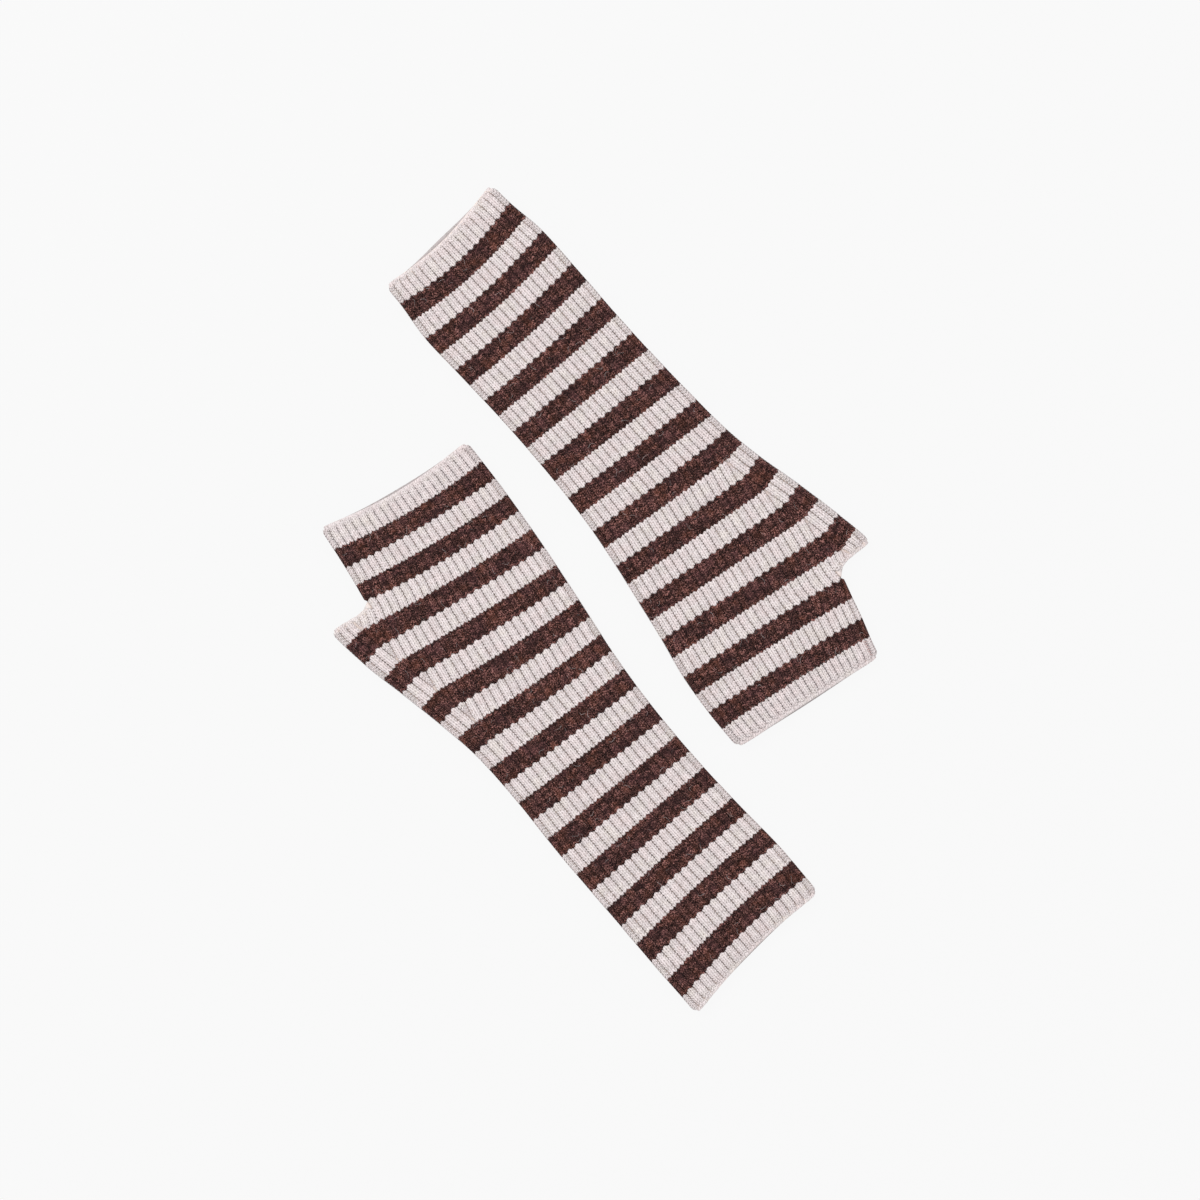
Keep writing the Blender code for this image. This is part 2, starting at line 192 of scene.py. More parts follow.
LOWER = WristWarmer(
    name="lower",
    arm_end=(73.1, -163.4),
    turn=37.9,
    stations=(
        #       row  along  thumb   far   tilt    bow  drop
        Station(0, 1.6, -41.2, 39.2, 0.122, 3.4, 0.0),
        Station(8, 10.2, -41.8, 39.0, 0.109, 2.1, 0.0),
        Station(22, 31.0, -43.1, 38.0, 0.092, 1.5, 0.0),
        Station(36, 51.2, -44.0, 35.7, 0.071, 0.8, 0.0),
        Station(64, 91.3, -46.0, 32.3, 0.028, 0.0, 0.0),
        Station(92, 131.9, -46.9, 31.5, -0.012, -0.3, 0.0),
        Station(106, 152.2, -48.6, 32.4, -0.025, -0.6, 0.8),
        Station(120, 171.8, -52.7, 34.1, -0.065, -1.9, 3.9),
        Station(134, 192.7, -58.0, 35.8, -0.098, -1.4, 4.2),
        Station(148, 213.1, -63.3, 37.3, -0.112, -1.0, 4.3),
        Station(162, 233.1, -66.9, 38.4, -0.115, -3.1, 3.9),
        Station(176, 252.2, -66.9, 39.0, -0.118, -2.8, 0.0),
        Station(192, 273.1, -66.9, 39.0, -0.122, -8.0, 0.0),
    ),
    hand_edge=((162, -45.1), (176, -42.8), (192, -40.6)),
    back_reach=(0.8, 1.0),
    tip_roundness=1.3,
    creases=(
        #       x    y  turn length width depth
        Crease(-36, 200, 58, 32, 5.5, 0.40),
        Crease(-10, 42, -10, 34, 9.0, 0.28),
        Crease(14, 92, 16, 30, 8.0, -0.32),
        Crease(-22, 140, 6, 24, 8.0, 0.32),
        Crease(18, 186, -22, 32, 10.0, 0.28),
        Crease(2, 246, 14, 26, 8.0, 0.28),
    ),
    back_creases=(
        Crease(8, 60, -14, 34, 8.0, 0.32),
        Crease(-14, 132, 20, 26, 7.0, 0.34),
        Crease(-32, 196, 60, 34, 6.0, 0.40),
        Crease(10, 226, -10, 28, 9.0, 0.28),
    ),
)

PAIR = (UPPER, LOWER)

# %% [markdown]
# ## From a row to its course
#
# Every later step asks the same two questions: where do the edges of this row lie, and how far
# along is it at x? The functions take whole arrays of rows, because the knitting has thousands of
# stitches.

# %% The course of any row
CORNER_PULL_IN = 1.7  # the ends of the folds draw in, so the corners of the openings are round
CORNER_PULL_BACK = 1.5
CORNER_ROWS = 3.5
TIP_PULL_IN = 1.5  # and so does the tip beside the thumb mouth, which is rounder
TIP_PULL_BACK = 1.6
FOLD_WIDTH = 3.0
HOLLOW_FOLD_WIDTH = 0.7
CROTCH_FOLD_WIDTH = 1.2
HOLLOW_CROTCH_WIDTH = -1.1  # below 0, because the inside of the crotch curves in
MOUTH_ROUNDING = 3.6
CROTCH_LEAD = 0.6
CROTCH_RISE = 1.0
CROTCH_REACH = 5.0
FOLD_HEIGHT = 6.0
SAG = 0.5  # how much lower the middle of the front lies than it does beside the folds
SAG_REACH = 9.0


def smooth_curve(known_at, known, at):
    """The values of a smooth curve through known ones."""
    known_at = np.array(known_at, float)
    known = np.array(known, float)
    slopes = np.gradient(known, known_at)
    i = np.clip(np.searchsorted(known_at, at, side="right") - 1, 0, len(known_at) - 2)
    step = known_at[i + 1] - known_at[i]
    u = (at - known_at[i]) / step
    start = (1 + 2 * u) * (1 - u) ** 2 * known[i] + u * (1 - u) ** 2 * step * slopes[i]
    end = u**2 * (3 - 2 * u) * known[i + 1] - u**2 * (1 - u) * step * slopes[i + 1]
    return start + end


def corner(row):
    """1 at the arm end and the hand end, falling to 0 a few rows away."""
    from_end = np.minimum(row, LAST_ROW - row) / CORNER_ROWS
    return np.clip(1 - from_end, 0, 1) ** 2


class Course:
    """How some rows lie. hand: they are above the thumb mouth, on the hand's side of its crotch."""

    def __init__(self, knit, row, hand=False):
        self.knit, self.row, self.hand = knit, np.asarray(row, float), hand
        rows = [s.row for s in knit.stations]
        columns = list(zip(*knit.stations))[1:]
        self.at = Station(self.row, *[smooth_curve(rows, c, self.row) for c in columns])
        pull = CORNER_PULL_IN * corner(self.row)
        self.tip = 0.0
        if not hand:
            from_mouth = (THUMB_MOUTH - self.row) / CORNER_ROWS
            self.tip = knit.tip_roundness * np.clip(1 - from_mouth, 0, 1) ** 2
        self.past_mouth = np.clip((self.row - THUMB_MOUTH) / STRIPE_ROWS, 0, 1)
        self.near_mouth = np.clip((self.row - THUMB_MOUTH) / STRIPE_ROWS + 1, 0, 1)
        self.crotch = smooth_curve(*zip(*knit.hand_edge), THUMB_MOUTH) + CROTCH_FOLD_WIDTH
        self.far = self.at.far_edge - pull
        if hand:
            self.thumb = smooth_curve(*zip(*knit.hand_edge), self.row) + pull
            self.fold = CROTCH_FOLD_WIDTH + (FOLD_WIDTH - CROTCH_FOLD_WIDTH) * self.past_mouth
        else:
            self.thumb = self.at.thumb_edge + pull + TIP_PULL_IN * self.tip
            self.fold = FOLD_WIDTH + 0 * self.row
        self.start = self.thumb + self.fold
        self.end = self.far - FOLD_WIDTH
        grown = np.clip(self.row - GUSSET_START, 0, THUMB_MOUTH - GUSSET_START) / STRIPE_ROWS
        self.ribs = HAND_RIBS + 0 * grown if hand else EDGE_RIBS + FOREARM_RIBS + grown
        self.pitch = (self.end - self.start) / self.ribs

    def y(self, x):
        """How far along the rows lie at x."""
        at = self.at
        half = (at.far_edge - at.thumb_edge) / 2
        y = at.along + at.tilt * x - at.bow * (x / half) ** 2
        past = self.crotch - x
        rise = CROTCH_RISE * np.exp(-np.abs(past) / CROTCH_REACH)
        if self.hand:
            round_fold = np.clip((self.start - x) / self.fold, 0, 1)
            y = y + (1 - self.past_mouth) * rise
            y = y + CROTCH_LEAD * (1 - self.past_mouth) * round_fold
        else:
            line = self.thumb + FOLD_WIDTH + EDGE_RIBS * self.pitch
            gusset_drop = at.thumb_drop * np.clip((line - x) / (line - self.thumb), 0, None)
            past_crotch = 1 - np.exp(-np.clip(past, 0, None) / MOUTH_ROUNDING)
            mouth_drop = at.thumb_drop * past_crotch - rise
            y = y - gusset_drop * (1 - self.near_mouth) - mouth_drop * self.near_mouth
            from_tip = np.clip(x - self.thumb, 0, None)
            y = y - TIP_PULL_BACK * self.tip * np.exp(-from_tip / FOLD_WIDTH)
        from_fold = np.clip(np.minimum(x - self.thumb, self.far - x), 0, None)
        towards_middle = np.where(self.row < LAST_ROW / 2, 1, -1)
        pull = towards_middle * CORNER_PULL_BACK * corner(self.row)
        return y + pull * np.exp(-from_fold / FOLD_WIDTH)

    def height(self, x):
        """Height of the rib crests of the front, highest beside the folds."""
        from_thumb = x - self.thumb
        if self.hand:
            over_thumb = x - self.at.thumb_edge
            from_thumb = self.past_mouth * from_thumb + (1 - self.past_mouth) * over_thumb
        from_fold = np.clip(np.minimum(from_thumb, self.far - x) - FOLD_WIDTH, 0, None)
        return FOLD_HEIGHT - SAG * (1 - np.exp(-from_fold / SAG_REACH))

    def reach(self, x):
        """How far the back reaches past the front, at the middle of the two ends."""
        across = np.clip((x - self.start) / (self.end - self.start), 0, 1)
        arm = -self.knit.back_reach[0] * np.clip(1 - self.row / ARM_BAND_ROWS, 0, 1)
        hand = self.knit.back_reach[1] * np.clip(1 - (LAST_ROW - self.row) / HAND_BAND_ROWS, 0, 1)
        return (arm + hand) * np.sin(math.pi * across) ** 2


for knit in PAIR:
    widest = Course(knit, float(THUMB_MOUTH))
    print(knit.name, "across at the thumb:", round(float(widest.far - widest.thumb), 1), "mm")

# %% [markdown]
# ## The lines between the ribs
#
# The gusset grows by one rib at each change of yarn. On the far side of it the ribs run on unbroken
# from the arm to the hand, and beside the thumb fold two more do. So a rib is known by its number
# and by which of the two groups it is in, and its place in any row follows from how many ribs that
# row has.

# %% Places across a row
def body_x(course, rib, share):
    """x of a place in a rib, counted from the far fold. A rib that has yet to grow has no width."""
    grown_to = course.ribs - (0 if course.hand else EDGE_RIBS)
    width = np.clip(grown_to - rib, 0, 1)
    count = np.minimum(rib, grown_to) + width * share
    even = course.end - count * course.pitch
    if course.hand:
        return even, width
    hand_pitch = (course.end - course.crotch) / HAND_RIBS
    thumb_pitch = (course.crotch - course.start) / THUMB_RIBS
    split = course.end - np.minimum(count, HAND_RIBS) * hand_pitch
    split = split - np.clip(count - HAND_RIBS, 0, None) * thumb_pitch
    return even + (split - even) * course.near_mouth, width


def edge_x(course, rib, share):
    """x of a place in one of the two ribs beside the thumb fold."""
    thumb_pitch = (course.crotch - course.start) / THUMB_RIBS
    pitch = course.pitch + (thumb_pitch - course.pitch) * course.near_mouth
    return course.start + (rib + share) * pitch, 1 + 0 * course.pitch


arm, mouth = Course(UPPER, 0.0), Course(UPPER, float(THUMB_MOUTH))
print("ribs across:", arm.ribs, "at the arm,", mouth.ribs, "at the mouth")

# %% [markdown]
# ## The section through both layers
#
# Pressed flat, the tube's section is a long slot: a front, a back, and a half-round fold at each
# side. A function gives a point of it and the way out from it, for the outside and for the plain
# inside. Soft troughs and ridges, placed one by one, keep the front from looking ironed, and a
# few more do the same for the underside.

# %% Points of the section
WALL = 2.6
BACK_WALL = 2.3
CREASE_FADE = 5.0  # creases die out this far from a fold
INSIDE_CREASE = 0.5  # how much of a crease shows inside
LEAST_WIDTH = 0.1


def crease_depth(creases, course, x, y):
    """How deep some creases are at a place of the cloth."""
    depth = 0 * x
    for crease in creases:
        turn = math.radians(crease.turn)
        along = (x - crease.x) * math.cos(turn) + (y - crease.y) * math.sin(turn)
        beside = (y - crease.y) * math.cos(turn) - (x - crease.x) * math.sin(turn)
        away = (2 * along / crease.length) ** 2 + (beside / crease.width) ** 2
        depth = depth + crease.depth * np.exp(-away)
    from_fold = np.clip(np.minimum(x - course.thumb, course.far - x), 0, None)
    return depth * (1 - np.exp(-from_fold / CREASE_FADE))


def section_point(course, side, at, inside=False):
    """Points of the section, and the way out there. at: x, or on a fold how far round it, 0 to 1."""
    low = BACK_WALL if inside else 0.0
    drop = WALL if inside else 0.0
    if side == "front":
        y = course.y(at)
        sunk = crease_depth(course.knit.creases, course, at, y) * (INSIDE_CREASE if inside else 1.0)
        z = course.height(at) - drop - sunk
        return np.stack([at + 0 * z, y, z], -1), np.stack([0 * z, 0 * z, 1 + 0 * z], -1)
    if side == "back":
        y = course.y(at) + course.reach(at)
        raised = 0 * y if inside else crease_depth(course.knit.back_creases, course, at, y)
        z = low + raised
        return np.stack([at + 0 * z, y, z], -1), np.stack([0 * z, 0 * z, -1 + 0 * z], -1)
    sign, base = (1, course.end) if side == "far fold" else (-1, course.start)
    width = FOLD_WIDTH if sign > 0 else course.fold
    if inside:
        width = HOLLOW_FOLD_WIDTH
        if sign < 0 and course.hand:
            wider = HOLLOW_FOLD_WIDTH - HOLLOW_CROTCH_WIDTH
            width = HOLLOW_CROTCH_WIDTH + wider * course.past_mouth
    half = (course.height(base) - drop - low) / 2
    turned = math.pi * at
    x = base + sign * width * np.sin(turned)
    z = low + half + half * np.cos(turned)
    sideways = sign * np.sin(turned) / np.maximum(width, LEAST_WIDTH)
    out = np.stack([sideways + 0 * z, 0 * z, np.cos(turned) / half], -1)
    return np.stack([x, course.y(x), z], -1), out / np.linalg.norm(out, axis=-1, keepdims=True)


middle, _ = section_point(Course(UPPER, 90.0), "front", np.array(0.0))
print("height of the front over the floor at row 90:", round(float(middle[2]), 2), "mm")

# %% [markdown]
# ## The shape of one rib
#
# In a rib of two knit and two purl columns the purl columns draw back into a narrow valley, and the
# two knit columns close over it as one plump ridge. Along the ridge the courses also arch ahead of
# those in the valley, so a change of yarn comes out as a row of rounded fingertips. At an edge the
# ribs flatten and the courses lie straight, because the cast-on or cast-off row holds them.

# %% Rib profile and the arch of its courses
RIB_DEPTH = 1.25
BACK_DEPTH = 0.55  # the underside is pressed by its own weight, so its ribs are lower
FOLD_DEPTH = 0.85  # stretched round a fold
RIB_SQUARENESS = 2.8
RIB_ROUNDNESS = 0.62
STITCH_ROOM = 0.28  # the wall lies this far under the crests, and the stitches fill it
EDGE_LEVEL = 0.5  # where the flat edge lies between crest and valley
ARCH = 2.3  # how far a ridge's courses run ahead of the valley's
ARCH_REACH = 0.52  # half the width of the arch, in ribs
ARCH_MIDDLE = 0.62
EDGE_FADE_ROWS = 3.0


def rib_rise(share):
    """0 in the valleys of a rib and 1 on its crest."""
    side = np.abs(2 * share - 1)
    return np.clip(1 - side**RIB_SQUARENESS, 0, 1) ** RIB_ROUNDNESS


def arch_shape(from_crest):
    """How far a course runs ahead at a place of a rib, as a share of ARCH. from_crest: in ribs."""
    return np.sqrt(np.clip(1 - (from_crest / ARCH_REACH) ** 2, 0, 1)) - ARCH_MIDDLE


def rib_sink(depth, rise, grown, relief):
    """How far the wall lies under the crests. grown: the rib's width. relief: 0 where an edge is flat."""
    return depth * ((1 - rise * grown) * relief + EDGE_LEVEL * (1 - relief)) + STITCH_ROOM


print("a rib is", round(float(Course(UPPER, 50.0).pitch), 2), "mm wide and", RIB_DEPTH, "mm deep")

# %% [markdown]
# ## Columns all round the tube
#
# The wall is a grid: rows run along the tube, and columns run round it. Each column is a place in
# one rib, so it carries which side it is on, which rib, and the share of that rib. A finer step
# beside the valleys keeps them narrow and round. The same columns later tell the stitches where to
# sit.

# %% Columns, and the points of a ring
RIB_SHARES = (0.0, 0.07, 0.18, 0.33, 0.5, 0.67, 0.82, 0.93)


class Column(NamedTuple):
    side: str
    group: str  # body, edge or fold
    rib: int
    share: float
    mirrored: bool = False  # the share runs the other way round the tube

    def ends_at_thumb(self):
        """Whether the column belongs to the thumb, below its mouth."""
        over_thumb = self.group == "body" and self.rib >= HAND_RIBS
        return over_thumb or self.group == "edge" or self.side == "thumb fold"

    def depth(self):
        return {"front": RIB_DEPTH, "back": BACK_DEPTH}.get(self.side, FOLD_DEPTH)

    def relief(self, course):
        """0 on the cast-on and cast-off rows, growing to 1 a few rows away."""
        from_end = np.minimum(course.row, LAST_ROW - course.row)
        if self.ends_at_thumb() and not course.hand:
            from_end = np.minimum(from_end, THUMB_MOUTH - course.row)
        return np.clip(from_end / EDGE_FADE_ROWS, 0, 1)


def rib_columns(side, group, ribs, shares):
    """The columns of some ribs, in the order in which they come round the tube."""
    backwards = side == "thumb fold" if group == "fold" else (side == "front") == (group == "body")
    order = reversed(range(ribs)) if backwards else range(ribs)
    return [Column(side, group, rib, share, backwards) for rib in order for share in shares]


def ring_columns(hand, shares=RIB_SHARES):
    """Round the tube: the front from the thumb on, the far fold, the back, and the thumb fold."""
    edge_ribs = 0 if hand else EDGE_RIBS
    body = HAND_RIBS if hand else HAND_RIBS + THUMB_RIBS - EDGE_RIBS
    return [
        *rib_columns("front", "edge", edge_ribs, shares),
        *rib_columns("front", "body", body, shares),
        *rib_columns("far fold", "fold", FOLD_RIBS, shares),
        *rib_columns("back", "body", body, shares),
        *rib_columns("back", "edge", edge_ribs, shares),
        *rib_columns("thumb fold", "fold", FOLD_RIBS, shares),
    ]


def column_points(course, column, arched=True):
    """A column's points on the smooth outline, the way out there, and how wide its rib is, 0 to 1."""
    share = 1 - column.share if column.mirrored else column.share
    if column.group == "fold":
        at, width = (column.rib + share) / FOLD_RIBS + 0 * course.row, 1 + 0 * course.row
    else:
        across = {"body": body_x, "edge": edge_x}[column.group]
        at, width = across(course, column.rib, share)
    points, out = section_point(course, column.side, at)
    if arched:
        valley = arch_shape(0.5)
        ahead = valley + (arch_shape(column.share - 0.5) - valley) * width
        points[..., 1] += ARCH * ahead * column.relief(course)
    return points, out, width


print("columns round the tube:", len(ring_columns(False)), end=" ")
print("and round the hand:", len(ring_columns(True)))

# %% [markdown]
# ## The wall, with plain outside and inside
#
# The outside and the inside are two grids of points. The edge of the wall joins them at the arm
# end, at the hand end and round the thumb's mouth, so the cloth is one closed thin shell. At the
# mouth the grid parts: the hand's rows go on from the columns over the hand, and a new fold starts
# in the crotch of the thumb. Each point of the outside also keeps the way out of the cloth, its
# place in its rib, and how high its rib may rise, for the next step.

# %% A mesh of rings that share their points
CARRIED = ("rib_share", "rib_grown", "rib_relief", "rib_depth", "row", "inside")
INNER_THUMB_SHARES = 4
INNER_HAND_SHARES = 14
INNER_FOLD_SHARES = 6
LAST_OF_YARN = 0.01  # rows before a change of yarn


class WallPoints:
    """Collects the points of one wall, with what each carries."""

    def __init__(self):
        self.points, self.outward, self.faces = [], [], []
        self.carried = {label: [] for label in CARRIED}

    def add(self, points, outward, **carried):
        """Adds one column of points, with what they carry. Returns their numbers."""
        first = sum(len(p) for p in self.points)
        self.points.append(points)
        self.outward.append(outward)
        for label, values in self.carried.items():
            values.append(np.broadcast_to(carried.get(label, 0.0), (len(points),)))
        return np.arange(first, first + len(points))

    def join(self, grid, flip=False, closed=True):
        """Faces between neighbouring columns of a grid of point numbers, with a line for each ring."""
        across = np.concatenate([grid, grid[:, :1]], axis=1) if closed else grid
        a, b = across[:-1, :-1], across[:-1, 1:]
        c, d = across[1:, 1:], across[1:, :-1]
        quads = np.stack([a, b, c, d] if not flip else [d, c, b, a], -1).reshape(-1, 4)
        self.faces.extend(quads.tolist())

    def close(self, outer, inner, flip=False):
        """The wall's edge between a run of the outside and one of the inside, of other counts."""
        i = j = 0
        last_i, last_j = len(outer) - 1, len(inner) - 1
        while i < last_i or j < last_j:
            if j == last_j or (i < last_i and (i + 1) * last_j <= (j + 1) * last_i):
                face = [outer[i], inner[j], outer[i + 1]]
                i += 1
            else:
                face = [outer[i], inner[j], inner[j + 1]]
                j += 1
            self.faces.append(face[::-1] if flip else face)


def yarn_row(course, of_thumb):
    """The rows whose yarn shows: the thumb's cast-off edge has the yarn of the rows below its mouth."""
    below_mouth = of_thumb and not course.hand
    return np.minimum(course.row, THUMB_MOUTH - LAST_OF_YARN) if below_mouth else course.row


def outer_grid(wall, course):
    """The numbers of the outside's points: a line for each ring, a place in it for each column."""
    numbers = []
    for column in ring_columns(course.hand):
        points, out, grown = column_points(course, column)
        numbers.append(wall.add(
            points, out,
            rib_share=np.where(grown > 0, column.share, 0.0),
            rib_grown=grown,
            rib_relief=column.relief(course),
            rib_depth=column.depth() * MM,
            row=yarn_row(course, column.ends_at_thumb()),
        ))
    return np.stack(numbers, 1)


def inner_sections(hand):
    """The columns of the inside: (side, group, share of the way across it)."""
    def run(side, group, count, backwards=False):
        return [(side, group, 1 - k / count if backwards else k / count) for k in range(count)]

    thumb = 0 if hand else INNER_THUMB_SHARES
    return [
        *run("front", "thumb", thumb),
        *run("front", "hand", INNER_HAND_SHARES),
        *run("far fold", "fold", INNER_FOLD_SHARES),
        *run("back", "hand", INNER_HAND_SHARES, True),
        *run("back", "thumb", thumb, True),
        *run("thumb fold", "fold", INNER_FOLD_SHARES, True),
    ]


def inner_grid(wall, course):
    """The same for the inside, which is plain."""
    even = course.start + (course.end - course.start) * THUMB_RIBS / (THUMB_RIBS + HAND_RIBS)
    parting = course.start if course.hand else even + (course.crotch - even) * course.near_mouth
    numbers = []
    for side, group, share in inner_sections(course.hand):
        if group == "thumb":
            at = course.start + share * (parting - course.start)
        elif group == "hand":
            at = parting + share * (course.end - parting)
        else:
            at = share + 0 * course.row
        points, out = section_point(course, side, at, inside=True)
        of_thumb = group == "thumb" or side == "thumb fold"
        numbers.append(wall.add(points, 0 * out, row=yarn_row(course, of_thumb), inside=1.0))
    return np.stack(numbers, 1)

# %% [markdown]
# ## Joining the wall at the thumb's mouth
#
# The two grids of the outside meet at the mouth's row, and so do the two of the inside. Where they
# meet they share their points, which is done here by writing the lower grid's numbers over the
# upper grid's first ring.

# %% The wall of the tube and of the hand band
RING_STEP = 3.5
MERGE = 1e-4  # mm
SEAM_GAP = 0.3
EDGE_ROWS = (0.7, 1.5, 2.3, 3.0, 4.5)  # rows from an edge that get a ring, where the ribs flatten
BAND_ROWS = (HAND_BAND_START, 185.0, 187.5, *[LAST_ROW - r for r in EDGE_ROWS[3::-1]], LAST_ROW)


def ring_rows(first, last, extra=()):
    """Rows that get a ring: every half stripe, and a few more at an edge."""
    steps = np.arange(ARM_BAND_ROWS, LAST_ROW, RING_STEP)
    rows = {float(r) for r in steps if first <= r <= last}
    return np.array(sorted(rows | {float(first), float(last), *map(float, extra)}))


def arm_course(knit):
    from_mouth = [THUMB_MOUTH - r for r in EDGE_ROWS]
    return Course(knit, ring_rows(0, THUMB_MOUTH, extra=[*EDGE_ROWS, *from_mouth]))


def hand_course(knit):
    return Course(knit, ring_rows(THUMB_MOUTH, HAND_BAND_START), hand=True)


def tube_wall(knit):
    wall = WallPoints()
    arm, hand = arm_course(knit), hand_course(knit)
    outer, outer_hand = outer_grid(wall, arm), outer_grid(wall, hand)
    inner, inner_hand = inner_grid(wall, arm), inner_grid(wall, hand)

    per_rib = len(RIB_SHARES)
    thumb_columns = THUMB_RIBS * per_rib
    kept = (2 * HAND_RIBS + FOLD_RIBS) * per_rib + 1
    outer_hand[0, :kept] = outer[-1, thumb_columns : thumb_columns + kept]
    inner_kept = 2 * INNER_HAND_SHARES + INNER_FOLD_SHARES + 1
    inner_hand[0, :inner_kept] = inner[-1, INNER_THUMB_SHARES : INNER_THUMB_SHARES + inner_kept]

    wall.join(outer)
    wall.join(outer_hand)
    wall.join(inner, flip=True)
    wall.join(inner_hand, flip=True)
    wall.close(closed(outer[0]), closed(inner[0]))
    wall.close(closed(outer_hand[-1]), closed(inner_hand[-1]), flip=True)
    mouth, inner_mouth = np.roll(outer[-1], -thumb_columns), np.roll(inner[-1], -INNER_THUMB_SHARES)
    wall.close(closed(mouth)[kept - 1 :], closed(inner_mouth)[inner_kept - 1 :], flip=True)
    wall.close(closed(outer_hand[0])[kept - 1 :], closed(inner_hand[0])[inner_kept - 1 :])
    return wall


def closed(ring):
    """A ring's numbers, ending with the first one again."""
    return np.append(ring, ring[0])


def band_wall(knit):
    """The band goes on in the same ribs, a small gap past the tube."""
    wall = WallPoints()
    course = Course(knit, BAND_ROWS, hand=True)
    outer, inner = outer_grid(wall, course), inner_grid(wall, course)
    gap = SEAM_GAP * (course.row == HAND_BAND_START)
    wall.points = [points + np.stack([0 * gap, gap, 0 * gap], -1) for points in wall.points]
    wall.join(outer)
    wall.join(inner, flip=True)
    wall.close(closed(outer[0]), closed(inner[0]))
    wall.close(closed(outer[-1]), closed(inner[-1]), flip=True)
    return wall


print("rings below the thumb mouth:", len(arm_course(UPPER).row), end=" ")
print("and above it:", len(hand_course(UPPER).row))

# %% [markdown]
# ## Laying a wrist warmer in its place
#
# Each wrist warmer is turned and moved to its arm end. One more small step, the same for both,
# centred the pair on the floor when its solids were made. The box of each solid shows whether the
# drawing lies on it.

# %% From the drawing to the floor
CENTRING_STEP = (0.93, -1.03)


class Place:
    """Turns points drawn in millimetres into the pair's frame, in metres."""

    def __init__(self, knit):
        turn = math.radians(knit.turn)
        cos, sin = math.cos(turn), math.sin(turn)
        self.turn = np.array([[cos, -sin, 0], [sin, cos, 0], [0, 0, 1]])
        self.shift = np.array([a + b for a, b in zip(knit.arm_end, CENTRING_STEP)] + [0.0]) * MM

    def points(self, drawn):
        return np.asarray(drawn) @ self.turn.T * MM + self.shift

    def ways(self, drawn):
        return np.asarray(drawn) @ self.turn.T


def outline_of(knit):
    """Points all round the outline of the tube, for its box."""
    courses = (arm_course(knit), hand_course(knit))
    return np.concatenate([
        column_points(course, column, arched=False)[0]
        for course in courses
        for column in ring_columns(course.hand)
    ])


PLACES = {knit.name: Place(knit) for knit in PAIR}
for knit in PAIR:
    laid = PLACES[knit.name].points(outline_of(knit))
    low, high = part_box(knit.name + "_tube")
    past = [np.round(by * 1000, 1)[:2] for by in (laid.min(0) - low, laid.max(0) - high)]
    print(knit.name, "box less that of its solid:", *past, "mm")

# %% [markdown]
# ## One way to write node trees
#
# Geometry and shader trees are written the same way here. A `Graph` adds a node from its type, its
# settings and the values or links of its sockets. A `Socket` is what a node gives, and arithmetic
# on it adds Math nodes, so a formula reads as a formula.

# %% Node trees as expressions
def new_object(name, data):
    """An object in the scene, at the origin."""
    obj = bpy.data.objects.new(name, data)
    bpy.context.scene.collection.objects.link(obj)
    return obj


def triangles(obj):
    return sum(len(p.vertices) - 2 for p in obj.data.polygons)


def carry(mesh, label, values):
    """Puts a number or a vector on each point of a mesh, for a tree or a material to read."""
    values = np.asarray(values, np.float32)
    kind, field = ("FLOAT", "value") if values.ndim == 1 else ("FLOAT_VECTOR", "vector")
    mesh.attributes.new(label, kind, "POINT").data.foreach_set(field, values.ravel())


class Socket:
    """An output of a node. Arithmetic on it adds Math nodes to its tree."""

    def __init__(self, graph, link):
        self.graph = graph
        self.link = link

    def other(self, name):
        """Another output of the same node."""
        found = [s for s in self.link.node.outputs if s.enabled and s.name == name]
        return Socket(self.graph, found[0])

    def math(self, operation, *others):
        return self.graph.math(operation, self, *others)

    def __add__(self, other):
        return self.math("ADD", other)

    def __sub__(self, other):
        return self.math("SUBTRACT", other)

    def __rsub__(self, other):
        return self.graph.math("SUBTRACT", other, self)

    def __mul__(self, other):
        return self.math("MULTIPLY", other)

    def __pow__(self, other):
        return self.math("POWER", other)

    def __gt__(self, other):
        return self.math("GREATER_THAN", other)

    def __lt__(self, other):
        return self.math("LESS_THAN", other)

    __radd__ = __add__
    __rmul__ = __mul__


class Graph:
    """A node tree, and the one way in which the lesson adds nodes to it."""

    def __init__(self, tree):
        self.tree = tree

    def node(self, kind, settings=None, inputs=None):
        """Adds a node: its settings, then its sockets by name or number. Gives its first output."""
        made = self.tree.nodes.new(kind)
        for name, value in (settings or {}).items():
            if name == "stops":
                self.set_stops(made.color_ramp, value)
            else:
                setattr(made, name, value)
        live = [s for s in made.inputs if s.enabled]
        for key, value in (inputs or {}).items():
            socket = live[key] if isinstance(key, int) else next(s for s in live if s.name == key)
            for one in value if isinstance(value, list) else [value]:
                if isinstance(one, Socket):
                    self.tree.links.new(one.link, socket)
                else:
                    socket.default_value = one
        shown = [s for s in made.outputs if s.enabled]
        return Socket(self, shown[0]) if shown else None

    def set_stops(self, ramp, stops):
        while len(ramp.elements) < len(stops):
            ramp.elements.new(1.0)
        for element, (place, color) in zip(ramp.elements, stops):
            element.position = place
            element.color = (*color, 1.0)

    def math(self, operation, *values):
        return self.node("ShaderNodeMath", {"operation": operation}, dict(enumerate(values)))

    def vector(self, operation, *values):
        return self.node("ShaderNodeVectorMath", {"operation": operation}, dict(enumerate(values)))

    def scaled(self, vector, factor):
        inputs = {"Vector": vector, "Scale": factor}
        return self.node("ShaderNodeVectorMath", {"operation": "SCALE"}, inputs)

    def mix_colors(self, factor, one, other):
        """Mixes two colours, each of them a socket or three numbers."""
        one, other = (c if isinstance(c, Socket) else (*c, 1.0) for c in (one, other))
        return self.node("ShaderNodeMix", {"data_type": "RGBA"}, {"Factor": factor, "A": one, "B": other})


